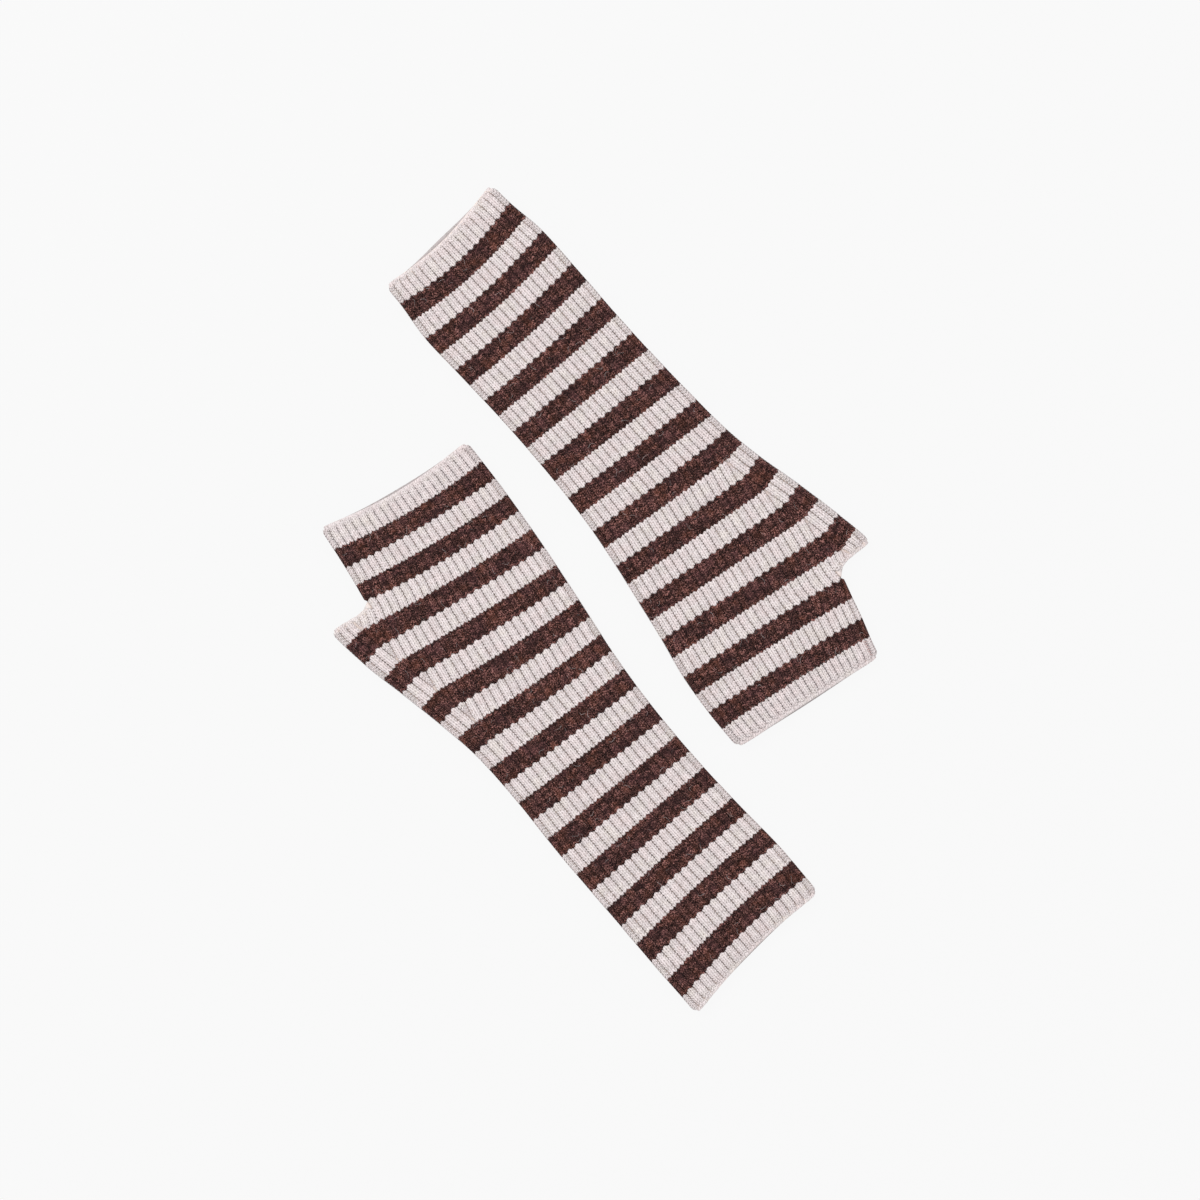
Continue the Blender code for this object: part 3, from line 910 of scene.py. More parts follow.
SOCKET_KINDS = {int: "NodeSocketInt", float: "NodeSocketFloat", str: "NodeSocketObject"}


class GeometryTree(Graph):
    """A Geometry Nodes tree with named inputs, which becomes a plain mesh on an object."""

    def __init__(self, name, **inputs):
        super().__init__(bpy.data.node_groups.new(name, "GeometryNodeTree"))
        face = self.tree.interface
        face.new_socket("Geometry", in_out="INPUT", socket_type="NodeSocketGeometry")
        self.given = {}
        for label, value in inputs.items():
            socket = face.new_socket(label, in_out="INPUT", socket_type=SOCKET_KINDS[type(value)])
            self.given[label] = (socket.identifier, value)
        face.new_socket("Geometry", in_out="OUTPUT", socket_type="NodeSocketGeometry")
        self.entry = self.node("NodeGroupInput")

    def named(self, name, kind="FLOAT"):
        """An attribute that the points carry."""
        return self.node("GeometryNodeInputNamedAttribute", {"data_type": kind}, {"Name": name})

    def chance(self, low, high, draw, kind="FLOAT"):
        """A random value for each point or copy. draw: which of the tree's draws it is."""
        inputs = {"Min": low, "Max": high, "Seed": self.entry.other("Seed") + draw}
        return self.node("FunctionNodeRandomValue", {"data_type": kind}, inputs)

    def turn_on_guide(self):
        """The turn that lays the Y of a shape along the guide and its Z out of the cloth."""
        ways = {0: self.named("facing", "FLOAT_VECTOR"), 1: self.named("along", "FLOAT_VECTOR")}
        return self.node("FunctionNodeAxesToRotation", {"primary_axis": "Z", "secondary_axis": "Y"}, ways)

    def shape_of(self, label):
        """The shape of an object given to the tree."""
        info = self.node("GeometryNodeObjectInfo", None, {"Object": self.entry.other(label)})
        return info.other("Geometry")

    def end(self, geometry, material):
        """The last nodes of the tree."""
        realized = self.node("GeometryNodeRealizeInstances", None, {"Geometry": geometry})
        inputs = {"Geometry": realized, "Material": material}
        dressed = self.node("GeometryNodeSetMaterial", None, inputs)
        self.node("NodeGroupOutput", None, {"Geometry": dressed})

    def end_copies(self, copies, about, tone, material):
        """Turns the copies about their own axes, gives each its tone, and ends the tree."""
        about = self.node("ShaderNodeCombineXYZ", None, about)
        copies = self.node("GeometryNodeRotateInstances", None, {"Instances": copies, "Rotation": about})
        settings = {"data_type": "FLOAT", "domain": "INSTANCE"}
        inputs = {"Geometry": copies, "Name": "tone", "Value": tone}
        self.end(self.node("GeometryNodeStoreNamedAttribute", settings, inputs), material)

    def make_plain(self, obj, name, **values):
        """Runs the tree on an object, and gives a new object of the plain mesh that comes out."""
        modifier = obj.modifiers.new(name, "NODES")
        modifier.node_group = self.tree
        for label, (identifier, value) in self.given.items():
            modifier[identifier] = values.get(label, value if not isinstance(value, str) else None)
        evaluated = obj.evaluated_get(bpy.context.evaluated_depsgraph_get())
        mesh = bpy.data.meshes.new_from_object(evaluated)
        mesh.name = name
        bpy.data.objects.remove(obj)
        return new_object(name, mesh)

# %% [markdown]
# ## The wool
#
# The yarn is soft, hairy and heathered: each colour is spun from fibres of several tones, so up
# close the cream has grey, beige and rosy flecks, and the dark brown goes from near black to rust,
# with a purple cast in places. Noise on Object coordinates gives the flecks, because wool has no
# grain that follows the knitting. Every stitch also carries a tone of its own. Wool hardly shines:
# the roughness is high, and a little sheen stands for its fuzz.

# %% Cream and brown yarn
PATCH_SCALE = 150.0  # cells to the metre
FLECK_SCALE = 1450.0
SPECK_SCALE = 2175.0
BROWN_FLECK_SCALE = 1950.0
FIBRE_SCALE = 5200.0
FIBRE_DEPTH = 0.00012
FIBRE_STRENGTH = 0.5
# painted shade: how much darker the inside of the cloth is made
INSIDE_SHADE = 0.36
PURL_ROWS = 0.9  # how far a purl stitch shows the yarn of the row before it
PURL_NARROWNESS = 6.0
# how far the cream in the valleys is mixed towards a warmer colour, as painted bounce light
VALLEY_BOUNCE_SHARE = 0.7
THREAD_SHARE = 0.75


class Tint(NamedTuple):
    """A tone of some fibres: the noise that places it, where it starts and is full, and its share."""

    scale: float
    detail: float
    seed: float
    start: float
    full: float
    most: float
    color: tuple


CREAM = (0.850, 0.776, 0.780)
CREAM_TINTS = (
    #    scale      detail seed start full most  color
    Tint(PATCH_SCALE, 2.0, 1.7, 0.45, 0.65, 0.80, (0.860, 0.750, 0.748)),  # rosy
    Tint(PATCH_SCALE, 2.0, 1.7, 0.50, 0.32, 0.80, (0.850, 0.778, 0.742)),  # warm
    Tint(FLECK_SCALE, 1.5, 0.0, 0.50, 0.66, 0.68, (0.58, 0.51, 0.49)),  # grey
    Tint(SPECK_SCALE, 0.0, 2.9, 0.70, 0.80, 0.70, (0.34, 0.21, 0.15)),  # brown specks
)
BROWN_STOPS = (
    (0.39, (0.007, 0.0022, 0.0018)),
    (0.51, (0.075, 0.0250, 0.0210)),
    (0.63, (0.285, 0.135, 0.118)),
)
BROWN_TINTS = (
    Tint(PATCH_SCALE, 2.0, 5.3, 0.48, 0.64, 0.45, (0.075, 0.030, 0.034)),  # plum
    Tint(PATCH_SCALE, 2.0, 5.3, 0.46, 0.32, 0.45, (0.120, 0.040, 0.024)),  # rust
)
# painted bounce light: the warmer colour towards which the cream in the rib valleys is mixed
CREAM_VALLEY_BOUNCE = (0.900, 0.760, 0.680)
THREAD = (0.50, 0.33, 0.31)
CREAM_SHADES = (0.93, 0.12)  # the darkest stitch, and how much brighter the brightest is
BROWN_SHADES = (0.45, 1.1)
GREY_SHADES = (0.30, 0.25)
WOOL_FINISH = {
    "Roughness": 0.92, "Specular IOR Level": 0.06, "Sheen Weight": 0.03, "Sheen Roughness": 0.6,
}


def wool_noise(graph, place, scale, detail, seed):
    """Smooth noise between 0 and 1 on the surface."""
    inputs = {"Vector": graph.vector("ADD", place, (seed, seed, seed)), "Scale": scale, "Detail": detail}
    return graph.node("ShaderNodeTexNoise", {"noise_dimensions": "3D"}, inputs)


def tinted(graph, place, color, tints):
    """A colour with some tones laid over it, one after the other."""
    for tint in tints:
        noise = wool_noise(graph, place, tint.scale, tint.detail, tint.seed)
        limits = {1: tint.start, 2: tint.full, 3: 0.0, 4: tint.most}
        share = graph.node("ShaderNodeMapRange", None, {0: noise, **limits})
        color = graph.mix_colors(share, color, tint.color)
    return color


def shaded(graph, color, tone, shades):
    """A colour made as bright as the tone of its stitch says, from 0 to 1."""
    darkest, more = shades
    return graph.scaled(color, darkest + tone * more)


def cream_color(graph, place, tone):
    return shaded(graph, tinted(graph, place, CREAM, CREAM_TINTS), tone, CREAM_SHADES)


def brown_color(graph, place, tone):
    flecks = wool_noise(graph, place, BROWN_FLECK_SCALE, 1.0, 3.1)
    color = graph.node("ShaderNodeValToRGB", {"stops": BROWN_STOPS}, {"Fac": flecks})
    return shaded(graph, tinted(graph, place, color, BROWN_TINTS), tone, BROWN_SHADES)


def thread_color(graph, place, tone):
    """The linking is drawn through the cream wool, and looks rosier and darker than it."""
    return graph.mix_colors(THREAD_SHARE, cream_color(graph, place, tone), THREAD)


def grey_color(graph, place, tone):
    """The pale hairs: cream fibres that have gone grey and thin."""
    return shaded(graph, cream_color(graph, place, tone), tone, GREY_SHADES)


def carried_value(graph, label):
    """A number that the points of the mesh carry."""
    return graph.node("ShaderNodeAttribute", {"attribute_name": label}).other("Fac")


def finish_wool(graph, place, color):
    """The shader of all the wool, with a bump of fine fibres. The inside of the cloth is darkened as
    painted shade.
    """
    color = graph.scaled(color, 1.0 - carried_value(graph, "inside") * INSIDE_SHADE)
    fibres = wool_noise(graph, place, FIBRE_SCALE, 2.0, 7.9)
    relief = {"Height": fibres, "Strength": FIBRE_STRENGTH, "Distance": FIBRE_DEPTH}
    bump = graph.node("ShaderNodeBump", None, relief)
    inputs = {"Base Color": color, "Normal": bump, **WOOL_FINISH}
    shader = graph.node("ShaderNodeBsdfPrincipled", None, inputs)
    graph.node("ShaderNodeOutputMaterial", None, {"Surface": shader})


def new_material(name):
    material = bpy.data.materials.new(name)
    material.use_nodes = True
    material.node_tree.nodes.clear()
    graph = Graph(material.node_tree)
    place = graph.node("ShaderNodeTexCoord").other("Object")
    return material, graph, place


def yarn_material(name, color_of):
    """Wool of one colour, whose stitches each carry a tone."""
    material, graph, place = new_material(name)
    finish_wool(graph, place, color_of(graph, place, carried_value(graph, "tone")))
    return material


def striped_material(name):
    """The ground between the stitches, whose yarn follows the row that its points carry.

    In a valley the purl side of the first cream row shows the brown that it was knitted into.
    """
    material, graph, place = new_material(name)
    row, valley = carried_value(graph, "row"), carried_value(graph, "valley")
    since = row - ARM_BAND_ROWS
    purl = valley ** PURL_NARROWNESS * PURL_ROWS
    stripe = since.math("FLOORED_MODULO", 2.0 * STRIPE_ROWS) - purl < STRIPE_ROWS
    inside_stripes = (since > 0.0) * (row < HAND_BAND_START)
    tone = wool_noise(graph, place, FLECK_SCALE, 1.0, 9.0)
    # in the valleys the cream is mixed towards a warmer colour, as painted warm bounce light in their
    # shade
    cream = graph.mix_colors(valley * VALLEY_BOUNCE_SHARE, cream_color(graph, place, tone), CREAM_VALLEY_BOUNCE)
    brown = brown_color(graph, place, tone)
    finish_wool(graph, place, graph.mix_colors(stripe * inside_stripes, cream, brown))
    return material


CREAM_WOOL = yarn_material("cream_wool", cream_color)
GREY_WOOL = yarn_material("grey_wool", grey_color)
LINKING_THREAD = yarn_material("linking_thread", thread_color)
BROWN_WOOL = yarn_material("brown_wool", brown_color)
STRIPED_WOOL = striped_material("striped_wool")

# %% [markdown]
# ## Raising the ribs
#
# The ribs follow a rule, so Geometry Nodes raise them. The tree reads what each point of the wall
# carries: its place in its rib, the way out, and how deep the rib is there. It moves the point in
# by the depth of the rib, less the rise of the rib's profile. The inside has no way out, so it
# stays plain.

# %% The tree that raises the ribs
def rib_tree(material):
    tree = GeometryTree(
        "raise_ribs", Squareness=RIB_SQUARENESS, Roundness=RIB_ROUNDNESS, Room=STITCH_ROOM * MM,
        Level=EDGE_LEVEL,
    )
    squareness, roundness, room, level = (tree.entry.other(name) for name in tree.given)
    side = (tree.named("rib_share") * 2.0 - 1.0).math("ABSOLUTE")
    rise = (1.0 - side ** squareness).math("MAXIMUM", 0.0) ** roundness
    relief = tree.named("rib_relief")
    ribbed = (1.0 - rise * tree.named("rib_grown")) * relief
    sunk = tree.named("rib_depth") * (ribbed + level * (1.0 - relief)) + room
    offset = tree.scaled(tree.named("outward", "FLOAT_VECTOR"), sunk * -1.0)
    moved = tree.node("GeometryNodeSetPosition", None, {"Geometry": tree.entry, "Offset": offset})
    tree.end(moved, material)
    return tree


def wall_object(name, wall, place):
    """The plain wall, with what the tree reads on its points."""
    mesh = bpy.data.meshes.new(name)
    mesh.from_pydata(place.points(np.concatenate(wall.points)).tolist(), [], wall.faces)
    carried = {label: np.concatenate(values) for label, values in wall.carried.items()}
    carried["valley"] = np.abs(2 * carried["rib_share"] - 1) * (1 - carried["inside"])
    carried["outward"] = place.ways(np.concatenate(wall.outward))
    for label, values in carried.items():
        carry(mesh, label, values)
    work = bmesh.new()
    work.from_mesh(mesh)
    bmesh.ops.remove_doubles(work, verts=work.verts, dist=MERGE * MM)
    loose = [v for v in work.verts if not v.link_faces]
    bmesh.ops.delete(work, geom=loose, context="VERTS")
    work.to_mesh(mesh)
    work.free()
    return new_object(name, mesh)


def check_closed(obj):
    """Prints whether a mesh is closed, and makes its faces point out."""
    work = bmesh.new()
    work.from_mesh(obj.data)
    open_edges = sum(1 for e in work.edges if len(e.link_faces) != 2)
    bmesh.ops.recalc_face_normals(work, faces=work.faces)
    volume = work.calc_volume(signed=True)
    work.to_mesh(obj.data)
    work.free()
    print(obj.name, "triangles", triangles(obj), "open edges", open_edges, end=" ")
    print("volume", round(volume * 1e6, 1), "cm3")


def make_wall(name, wall, place, material):
    made = rib_tree(material).make_plain(wall_object(name + "_drawn", wall, place), name)
    made.data.shade_smooth()
    check_closed(made)
    return made


WALLS = {}
for knit in PAIR:
    for part, drawn, wool in (("tube", tube_wall, STRIPED_WOOL), ("band", band_wall, CREAM_WOOL)):
        title = f"{knit.name}_{part}_cloth"
        WALLS[knit.name, part] = make_wall(title, drawn(knit), PLACES[knit.name], wool)

# %% [markdown]
# ## The stitches
#
# A knit stitch shows as a V of two strands. On a rib two of them stand side by side, pulled so
# close that their four strands run almost parallel. One course of one rib is modelled once, as four
# closed leaves of a dozen faces each, which follow the rib's round back and its arch. Geometry
# Nodes then set a copy on every point of a guide, turned the way the knitting runs there and
# stretched to the size of the rib, with a random tone and a little unevenness from a fixed seed.

# %% One course of one rib, and flatter ones for the underside and the folds
class Strand(NamedTuple):
    """A place on a strand: across in ribs from the crest, along in rows, up and half its width in mm."""

    across: float
    along: float
    up: float
    half_width: float


INNER_STRAND = (
    Strand(0.200, -0.80, -0.04, 0.00),
    Strand(0.152, -0.30, 0.20, 0.68),
    Strand(0.112, 0.34, 0.22, 0.68),
    Strand(0.060, 0.92, 0.02, 0.00),
)
OUTER_STRAND = (
    Strand(0.270, -0.80, -0.16, 0.00),
    Strand(0.310, -0.30, 0.08, 0.60),
    Strand(0.362, 0.32, 0.01, 0.58),
    Strand(0.385, 0.84, -0.26, 0.00),
)
FLAT_INNER_STRAND = (
    Strand(0.205, -0.60, -0.06, 0.00),
    Strand(0.140, 0.10, 0.22, 0.68),
    Strand(0.085, 0.84, -0.04, 0.00),
)
FLAT_OUTER_STRAND = (
    Strand(0.295, -0.60, -0.10, 0.00),
    Strand(0.345, 0.10, 0.13, 0.62),
    Strand(0.400, 0.78, -0.14, 0.00),
)
FOLD_OUTER_STRAND = (
    Strand(0.295, -0.60, -0.28, 0.00),
    Strand(0.345, 0.10, -0.08, 0.66),
    Strand(0.400, 0.78, -0.40, 0.00),
)
FEET = {"brown": -0.50, "cream": -0.95}  # rows, where a strand's foot ends: cream's covers the brown
FLAT_FOOT = -0.60
STRAND_BODY = 0.26  # mm, from the top of a strand to its underside
RIB_WIDTH = 3.9  # mm, for which the half widths are drawn
ROW_HEIGHT = 1.45


def skin(mesh, rings):
    """Faces over some rings of corners. The first and the last ring are one point each."""
    rings = [[mesh.verts.new(corner) for corner in ring] for ring in rings]
    sides = max(len(ring) for ring in rings)
    for ring, after in zip(rings, rings[1:]):
        for k in range(sides):
            corners = [ring[k % len(ring)], ring[(k + 1) % sides % len(ring)]]
            corners += [after[(k + 1) % sides % len(after)], after[k % len(after)]]
            mesh.faces.new(list(dict.fromkeys(corners)))


def draw_leaf(mesh, places, side):
    """One closed strand: a point at each end, and a ring of three corners at each place between."""
    rings = []
    for place in places:
        along = place.along + ARCH / ROW_HEIGHT * arch_shape(place.across)
        centre = (side * place.across, along, place.up)
        half, under = place.half_width / RIB_WIDTH, place.up - STRAND_BODY
        left, right = (centre[0] - half, along, under), (centre[0] + half, along, under)
        rings.append([left, centre, right] if half else [centre])
    skin(mesh, rings)


def helper_mesh(name, draw):
    """A small mesh to be repeated. Its object is a helper, and goes once it has been used."""
    work = bmesh.new()
    draw(work)
    bmesh.ops.recalc_face_normals(work, faces=work.faces)
    mesh = bpy.data.meshes.new(name)
    work.to_mesh(mesh)
    work.free()
    mesh.shade_smooth()
    return new_object(name, mesh)


def rib_course(foot, *strands):
    """The strands of one course, mirrored to both sides of the crest."""
    def draw(mesh):
        for first, *others in strands:
            for side in (1, -1):
                draw_leaf(mesh, (first._replace(along=foot), *others), side)
    return draw


ROUND_COURSE = {
    yarn: helper_mesh(yarn, rib_course(foot, INNER_STRAND, OUTER_STRAND)) for yarn, foot in FEET.items()
}
FLAT_COURSE = helper_mesh("flat", rib_course(FLAT_FOOT, FLAT_INNER_STRAND, FLAT_OUTER_STRAND))
FOLD_COURSE = helper_mesh("fold", rib_course(FLAT_FOOT, FLAT_INNER_STRAND, FOLD_OUTER_STRAND))
print("triangles in a course of a rib:", triangles(ROUND_COURSE["cream"]))

# %% [markdown]
# ## A guide point for every course of every rib
#
# The surface is asked for its place a little before and after the stitches, along and across. The
# two differences give them their direction, their face and their size.

# %% Guide points
PROBE = 0.12
LEAST_RIB = 0.3  # a growing rib gets stitches from this width on
CAST_ON_ROWS = 1  # the edge's own loops cover these rows
CAST_OFF_ROWS = 2
FOLD_FLATNESS = 0.5  # the stitches stretched round a fold lie this much flatter
LEAST_RISE = 0.6  # of the height of a full rib's stitches
EDGE_RISE = 0.5
CREAM_LIFT = 0.08  # mm: the cream yarn is the thicker one, and covers the brown where they meet


class Guide(NamedTuple):
    points: np.ndarray
    along: np.ndarray
    facing: np.ndarray
    size: np.ndarray
    row: np.ndarray
    side: np.ndarray


def wall_point(course, column):
    """A place on the wall, its ribs raised."""
    points, out, grown = column_points(course, column, arched=False)
    sunk = rib_sink(column.depth(), rib_rise(column.share), grown, column.relief(course))
    return points - out * sunk[..., None], out, grown


def is_brown(row):
    stripe = (row - ARM_BAND_ROWS) // STRIPE_ROWS
    return (row >= ARM_BAND_ROWS) & (row < HAND_BAND_START) & (stripe % 2 == 0)


def rib_guide(knit, rows, hand, column):
    """The courses of one rib, one for each of some rows."""
    middle = rows + 0.5

    def at(row, share):
        return column_points(Course(knit, row, hand), column._replace(share=share), arched=False)

    _, out, grown = at(middle, 0.5)
    along = at(middle + 0.5, 0.5)[0] - at(middle - 0.5, 0.5)[0]
    across = (at(middle, 0.5 + PROBE)[0] - at(middle, 0.5 - PROBE)[0]) / (2 * PROBE)
    centre = wall_point(Course(knit, middle, hand), column)[0]
    keep = grown > LEAST_RIB
    centre, out, grown, along, across = (v[keep] for v in (centre, out, grown, along, across))
    facing = np.cross(across, along)
    facing *= np.sign((facing * out).sum(-1, keepdims=True))
    facing /= np.linalg.norm(facing, axis=-1, keepdims=True)
    rib_width, height = np.linalg.norm(across, axis=-1), np.linalg.norm(along, axis=-1)
    relief = column.relief(Course(knit, middle[keep], hand))
    rise = np.clip(grown, LEAST_RISE, 1) * (EDGE_RISE + (1 - EDGE_RISE) * relief)
    if column.group == "fold":
        rise = rise * FOLD_FLATNESS
    size = np.stack([rib_width, height, rise], -1)
    lift = np.where(is_brown(rows[keep]), 0.0, CREAM_LIFT)[:, None]
    side = np.full(len(rise), column.side)
    return Guide(centre + lift * out, along / height[:, None], facing, size, rows[keep], side)


def joined(guides):
    return Guide(*[np.concatenate(parts) for parts in zip(*guides)])


def tube_guide(knit):
    """All the courses of the tube. Those of the thumb end a little before its mouth."""
    parts = []
    for column in ring_columns(False, shares=(0.5,)):
        last = THUMB_MOUTH - (CAST_OFF_ROWS if column.ends_at_thumb() else 0)
        parts.append(rib_guide(knit, np.arange(CAST_ON_ROWS, last), False, column))
    for column in ring_columns(True, shares=(0.5,)):
        parts.append(rib_guide(knit, np.arange(THUMB_MOUTH, HAND_BAND_START), True, column))
    return joined(parts)


def band_guide(knit):
    rows = np.arange(HAND_BAND_START, LAST_ROW - CAST_OFF_ROWS)
    columns = ring_columns(True, shares=(0.5,))
    return joined([rib_guide(knit, rows, True, column) for column in columns])


GUIDES = {knit.name: {"tube": tube_guide(knit), "band": band_guide(knit)} for knit in PAIR}
for name, guides in GUIDES.items():
    print(name, "courses of ribs:", {part: len(guide.row) for part, guide in guides.items()})

# %% [markdown]
# ## Knitting with Geometry Nodes
#
# One tree sets a small shape on each point of a guide. It turns the shape so that its Y runs along
# the guide's direction and its Z faces out of the cloth, stretches it to the guide's size, makes it
# a little uneven, and gives each copy a tone of its own. The stitches, the loops of the edges and
# the linking all use it.

# %% The tree that repeats a shape along a guide
TONE_SEED = 11
SIZE_SEED = 12
TURN_SEED = 13


def repeat_tree(material):
    tree = GeometryTree("repeat_on_guide", Shape="object", Unevenness=0.07, Wobble=0.05, Seed=1)
    spread, wobble = tree.entry.other("Unevenness"), tree.entry.other("Wobble")
    uneven = tree.chance(1.0 - spread, 1.0 + spread, SIZE_SEED)
    copies = tree.node("GeometryNodeInstanceOnPoints", None, {
        "Points": tree.entry, "Instance": tree.shape_of("Shape"), "Rotation": tree.turn_on_guide(),
        "Scale": tree.scaled(tree.named("size", "FLOAT_VECTOR"), uneven),
    })
    about = {"Z": tree.chance(wobble * -1.0, wobble, TURN_SEED)}
    tree.end_copies(copies, about, tree.chance(0.0, 1.0, TONE_SEED), material)
    return tree


def guide_object(name, guide, place, keep):
    """A mesh of loose points that carry what the trees read."""
    mesh = bpy.data.meshes.new(name)
    mesh.from_pydata(place.points(guide.points[keep]).tolist(), [], [])
    carry(mesh, "along", place.ways(guide.along[keep]))
    carry(mesh, "facing", place.ways(guide.facing[keep]))
    carry(mesh, "size", guide.size[keep] * MM)
    return new_object(name, mesh)


def repeat_along(name, guide, place, shape, material, keep=slice(None)):
    drawn = guide_object(name + "_guide", guide, place, keep)
    made = repeat_tree(material).make_plain(drawn, name, Shape=shape)
    print(made.name, "triangles", triangles(made))
    return made


DRESSING = {(knit.name, part): [] for knit in PAIR for part in ("tube", "band")}
for (name, part), pieces in DRESSING.items():
    guide = GUIDES[name][part]
    brown = is_brown(guide.row)
    front, back = guide.side == "front", guide.side == "back"
    for yarn, of_yarn, material in (("brown", brown, BROWN_WOOL), ("cream", ~brown, CREAM_WOOL)):
        for side, of_side, shape in (
            ("top", front, ROUND_COURSE[yarn]),
            ("under", back, FLAT_COURSE),
            ("folds", ~front & ~back, FOLD_COURSE),
        ):
            keep = of_yarn & of_side
            if keep.any():
                title = f"{name}_{part}_{yarn}_{side}"
                pieces.append(repeat_along(title, guide, PLACES[name], shape, material, keep))

for helper in (*ROUND_COURSE.values(), FLAT_COURSE, FOLD_COURSE):
    bpy.data.objects.remove(helper)

# %% [markdown]
# ## The edges
#
# The arm end is cast on and the other edges are cast off, which leaves a fine chain of slanting
# loops along each. On the real thing they are hardly thicker than the knitting, so the loops are
# small leaves laid side by side, half sunk in the wall. Beside the thumb the hand band is closed by
# a short column of linking stitches.

# %% Chains of loops, and the linking stitches
LOOP_STEP = 1.0
LOOP_SIZE = (1.6, 2.1, 0.6)
LOOP_SLANT = 0.45
LOOP_INSET = 0.75  # rows from the edge
LINK_STEP = 1.3
LINK_SIZE = (0.55, 1.9, 1.1)
LINK_SLANT = 0.55
LINK_LIFT = 0.75
LINK_SHARE = 0.07  # which place of the first rib from the thumb fold the linking follows
LINK_SIDES = {"upper": "front", "lower": "back"}
LINK_ROWS = np.linspace(HAND_BAND_START + 0.8, LAST_ROW - 1.6, 12)
LEAST_STEP = 1e-6  # mm


class LoopPlace(NamedTuple):
    along: float
    half_width: float
    half_height: float


LOOP_PLACES = (
    LoopPlace(-0.50, 0.00, 0.00),
    LoopPlace(-0.40, 0.30, 0.20),
    LoopPlace(-0.15, 0.50, 0.34),
    LoopPlace(0.15, 0.50, 0.34),
    LoopPlace(0.40, 0.30, 0.20),
    LoopPlace(0.50, 0.00, 0.00),
)


def draw_loop(mesh):
    """A closed leaf along Y, one long and one wide."""
    skin(mesh, [
        [(half, y, 0.0), (0.0, y, up), (-half, y, 0.0), (0.0, y, -up)] if half else [(0.0, y, 0.0)]
        for y, half, up in LOOP_PLACES
    ])


def row_line(knit, row, hand, columns):
    """One row of the wall as a line of points, with the way out of the cloth at each."""
    course = Course(knit, np.array([float(row)]), hand)
    made = [wall_point(course, column)[:2] for column in columns]
    return np.array([m[0][0] for m in made]), np.array([m[1][0] for m in made])


def chain_guide(line, out, step, slant, size):
    """Loops at even steps along a line, slanting across it, their faces out of the cloth."""
    between = np.linalg.norm(np.diff(line, axis=0), axis=1)
    keep = np.concatenate([[True], between > LEAST_STEP])
    line, out = line[keep], out[keep]
    place = np.concatenate([[0], np.cumsum(np.linalg.norm(np.diff(line, axis=0), axis=1))])
    at = np.arange(0.5 * step, place[-1], step)

    def taken(values):
        return np.stack([np.interp(at, place, values[:, k]) for k in range(3)], -1)

    along, facing = taken(np.gradient(line, place, axis=0)), taken(out)
    across = np.cross(facing, along)
    slanted = across / np.linalg.norm(across, axis=-1, keepdims=True) + slant * along
    sizes = np.tile(size, (len(at), 1))
    return Guide(taken(line), slanted, facing, sizes, np.zeros(len(at)), np.full(len(at), "edge"))


def edge_chains(knit):
    """The chains of the tube's arm end and thumb mouth, and of the band's edge."""
    below, above = ring_columns(False, shares=(0.0, 0.5)), ring_columns(True, shares=(0.0, 0.5))
    thumb = [c for c in below if c.ends_at_thumb()]
    front_thumb = [c for c in thumb if c.side == "front"]
    rest = [c for c in thumb if c.side != "front"]
    lines = {
        "arm_end": row_line(knit, LOOP_INSET, False, [*below, below[0]]),
        "thumb_mouth": row_line(knit, THUMB_MOUTH - LOOP_INSET, False, [*rest, *front_thumb]),
        "hand_end": row_line(knit, LAST_ROW - LOOP_INSET, True, [*above, above[0]]),
    }
    sizes = (LOOP_STEP, LOOP_SLANT, LOOP_SIZE)
    return {where: chain_guide(*line, *sizes) for where, line in lines.items()}


def linking_guide(knit):
    """The short column of stitches that closes the band beside the thumb."""
    side = LINK_SIDES[knit.name]
    last_rib = [c for c in ring_columns(True) if c.side == side and c.rib == HAND_RIBS - 1]
    column = next(c for c in last_rib if c.share == LINK_SHARE)
    points, out, _ = wall_point(Course(knit, LINK_ROWS, hand=True), column)
    return chain_guide(points + LINK_LIFT * out, out, LINK_STEP, LINK_SLANT, LINK_SIZE)


LOOP = helper_mesh("loop", draw_loop)
for knit in PAIR:
    place = PLACES[knit.name]
    for where, guide in edge_chains(knit).items():
        part = "band" if where == "hand_end" else "tube"
        chain = repeat_along(f"{knit.name}_{where}", guide, place, LOOP, CREAM_WOOL)
        DRESSING[knit.name, part].append(chain)
    linking = repeat_along(knit.name + "_linking", linking_guide(knit), place, LOOP, LINKING_THREAD)
    DRESSING[knit.name, "band"].append(linking)
bpy.data.objects.remove(LOOP)

# %% [markdown]
# ## Loose fibres
#
# Wool that is a little brushed sends out fine curly hairs. They blur the edge between two yarns.
# Most have the colour of their yarn, and a few long pale ones lie over the brown. Three hairs are
# drawn once. The tree chooses some of the guide's points at random, sets one of the hairs on each,
# and turns it any way within a cone out of the cloth. The cone is narrow on the underside, which
# the floor presses flat, and the folds get none.

# %% Hairs on some of the stitches
HAIR_RADIUS = 0.045
HAIR_STEPS = 6
HAIR_SIDES = 3
HAIR_TAPER = 0.6
CURL_START = 0.2  # where along itself a hair points straight on
CURL_ARC = 0.9  # how much of a half wave its height follows
HAIR_TONES = (0.2, 1.6)
PICK_DRAW, LENGTH_DRAW, TILT_DRAW, LEAN_DRAW, TURN_DRAW, TONE_DRAW = 1.0, 2.0, 3.0, 4.0, 5.0, 6.0


class Curl(NamedTuple):
    """The shape of one hair: its length in mm, its bend and wave in radians, and how high it stands."""

    length: float
    bend: float
    wave: float
    height: float


CURLS = (
    Curl(2.4, 2.6, 0.3, 0.42),
    Curl(2.9, -1.2, 0.9, 0.46),
    Curl(3.1, 1.5, -0.7, 0.55),
)
HAIR_SEED = 40


class Hairs(NamedTuple):
    """One kind of hair: its side and yarn, the share of the courses, how long, and how far it tilts."""

    title: str
    side: str
    on_brown: bool
    material: bpy.types.Material
    share: float
    shortest: float
    longest: float
    cone: float


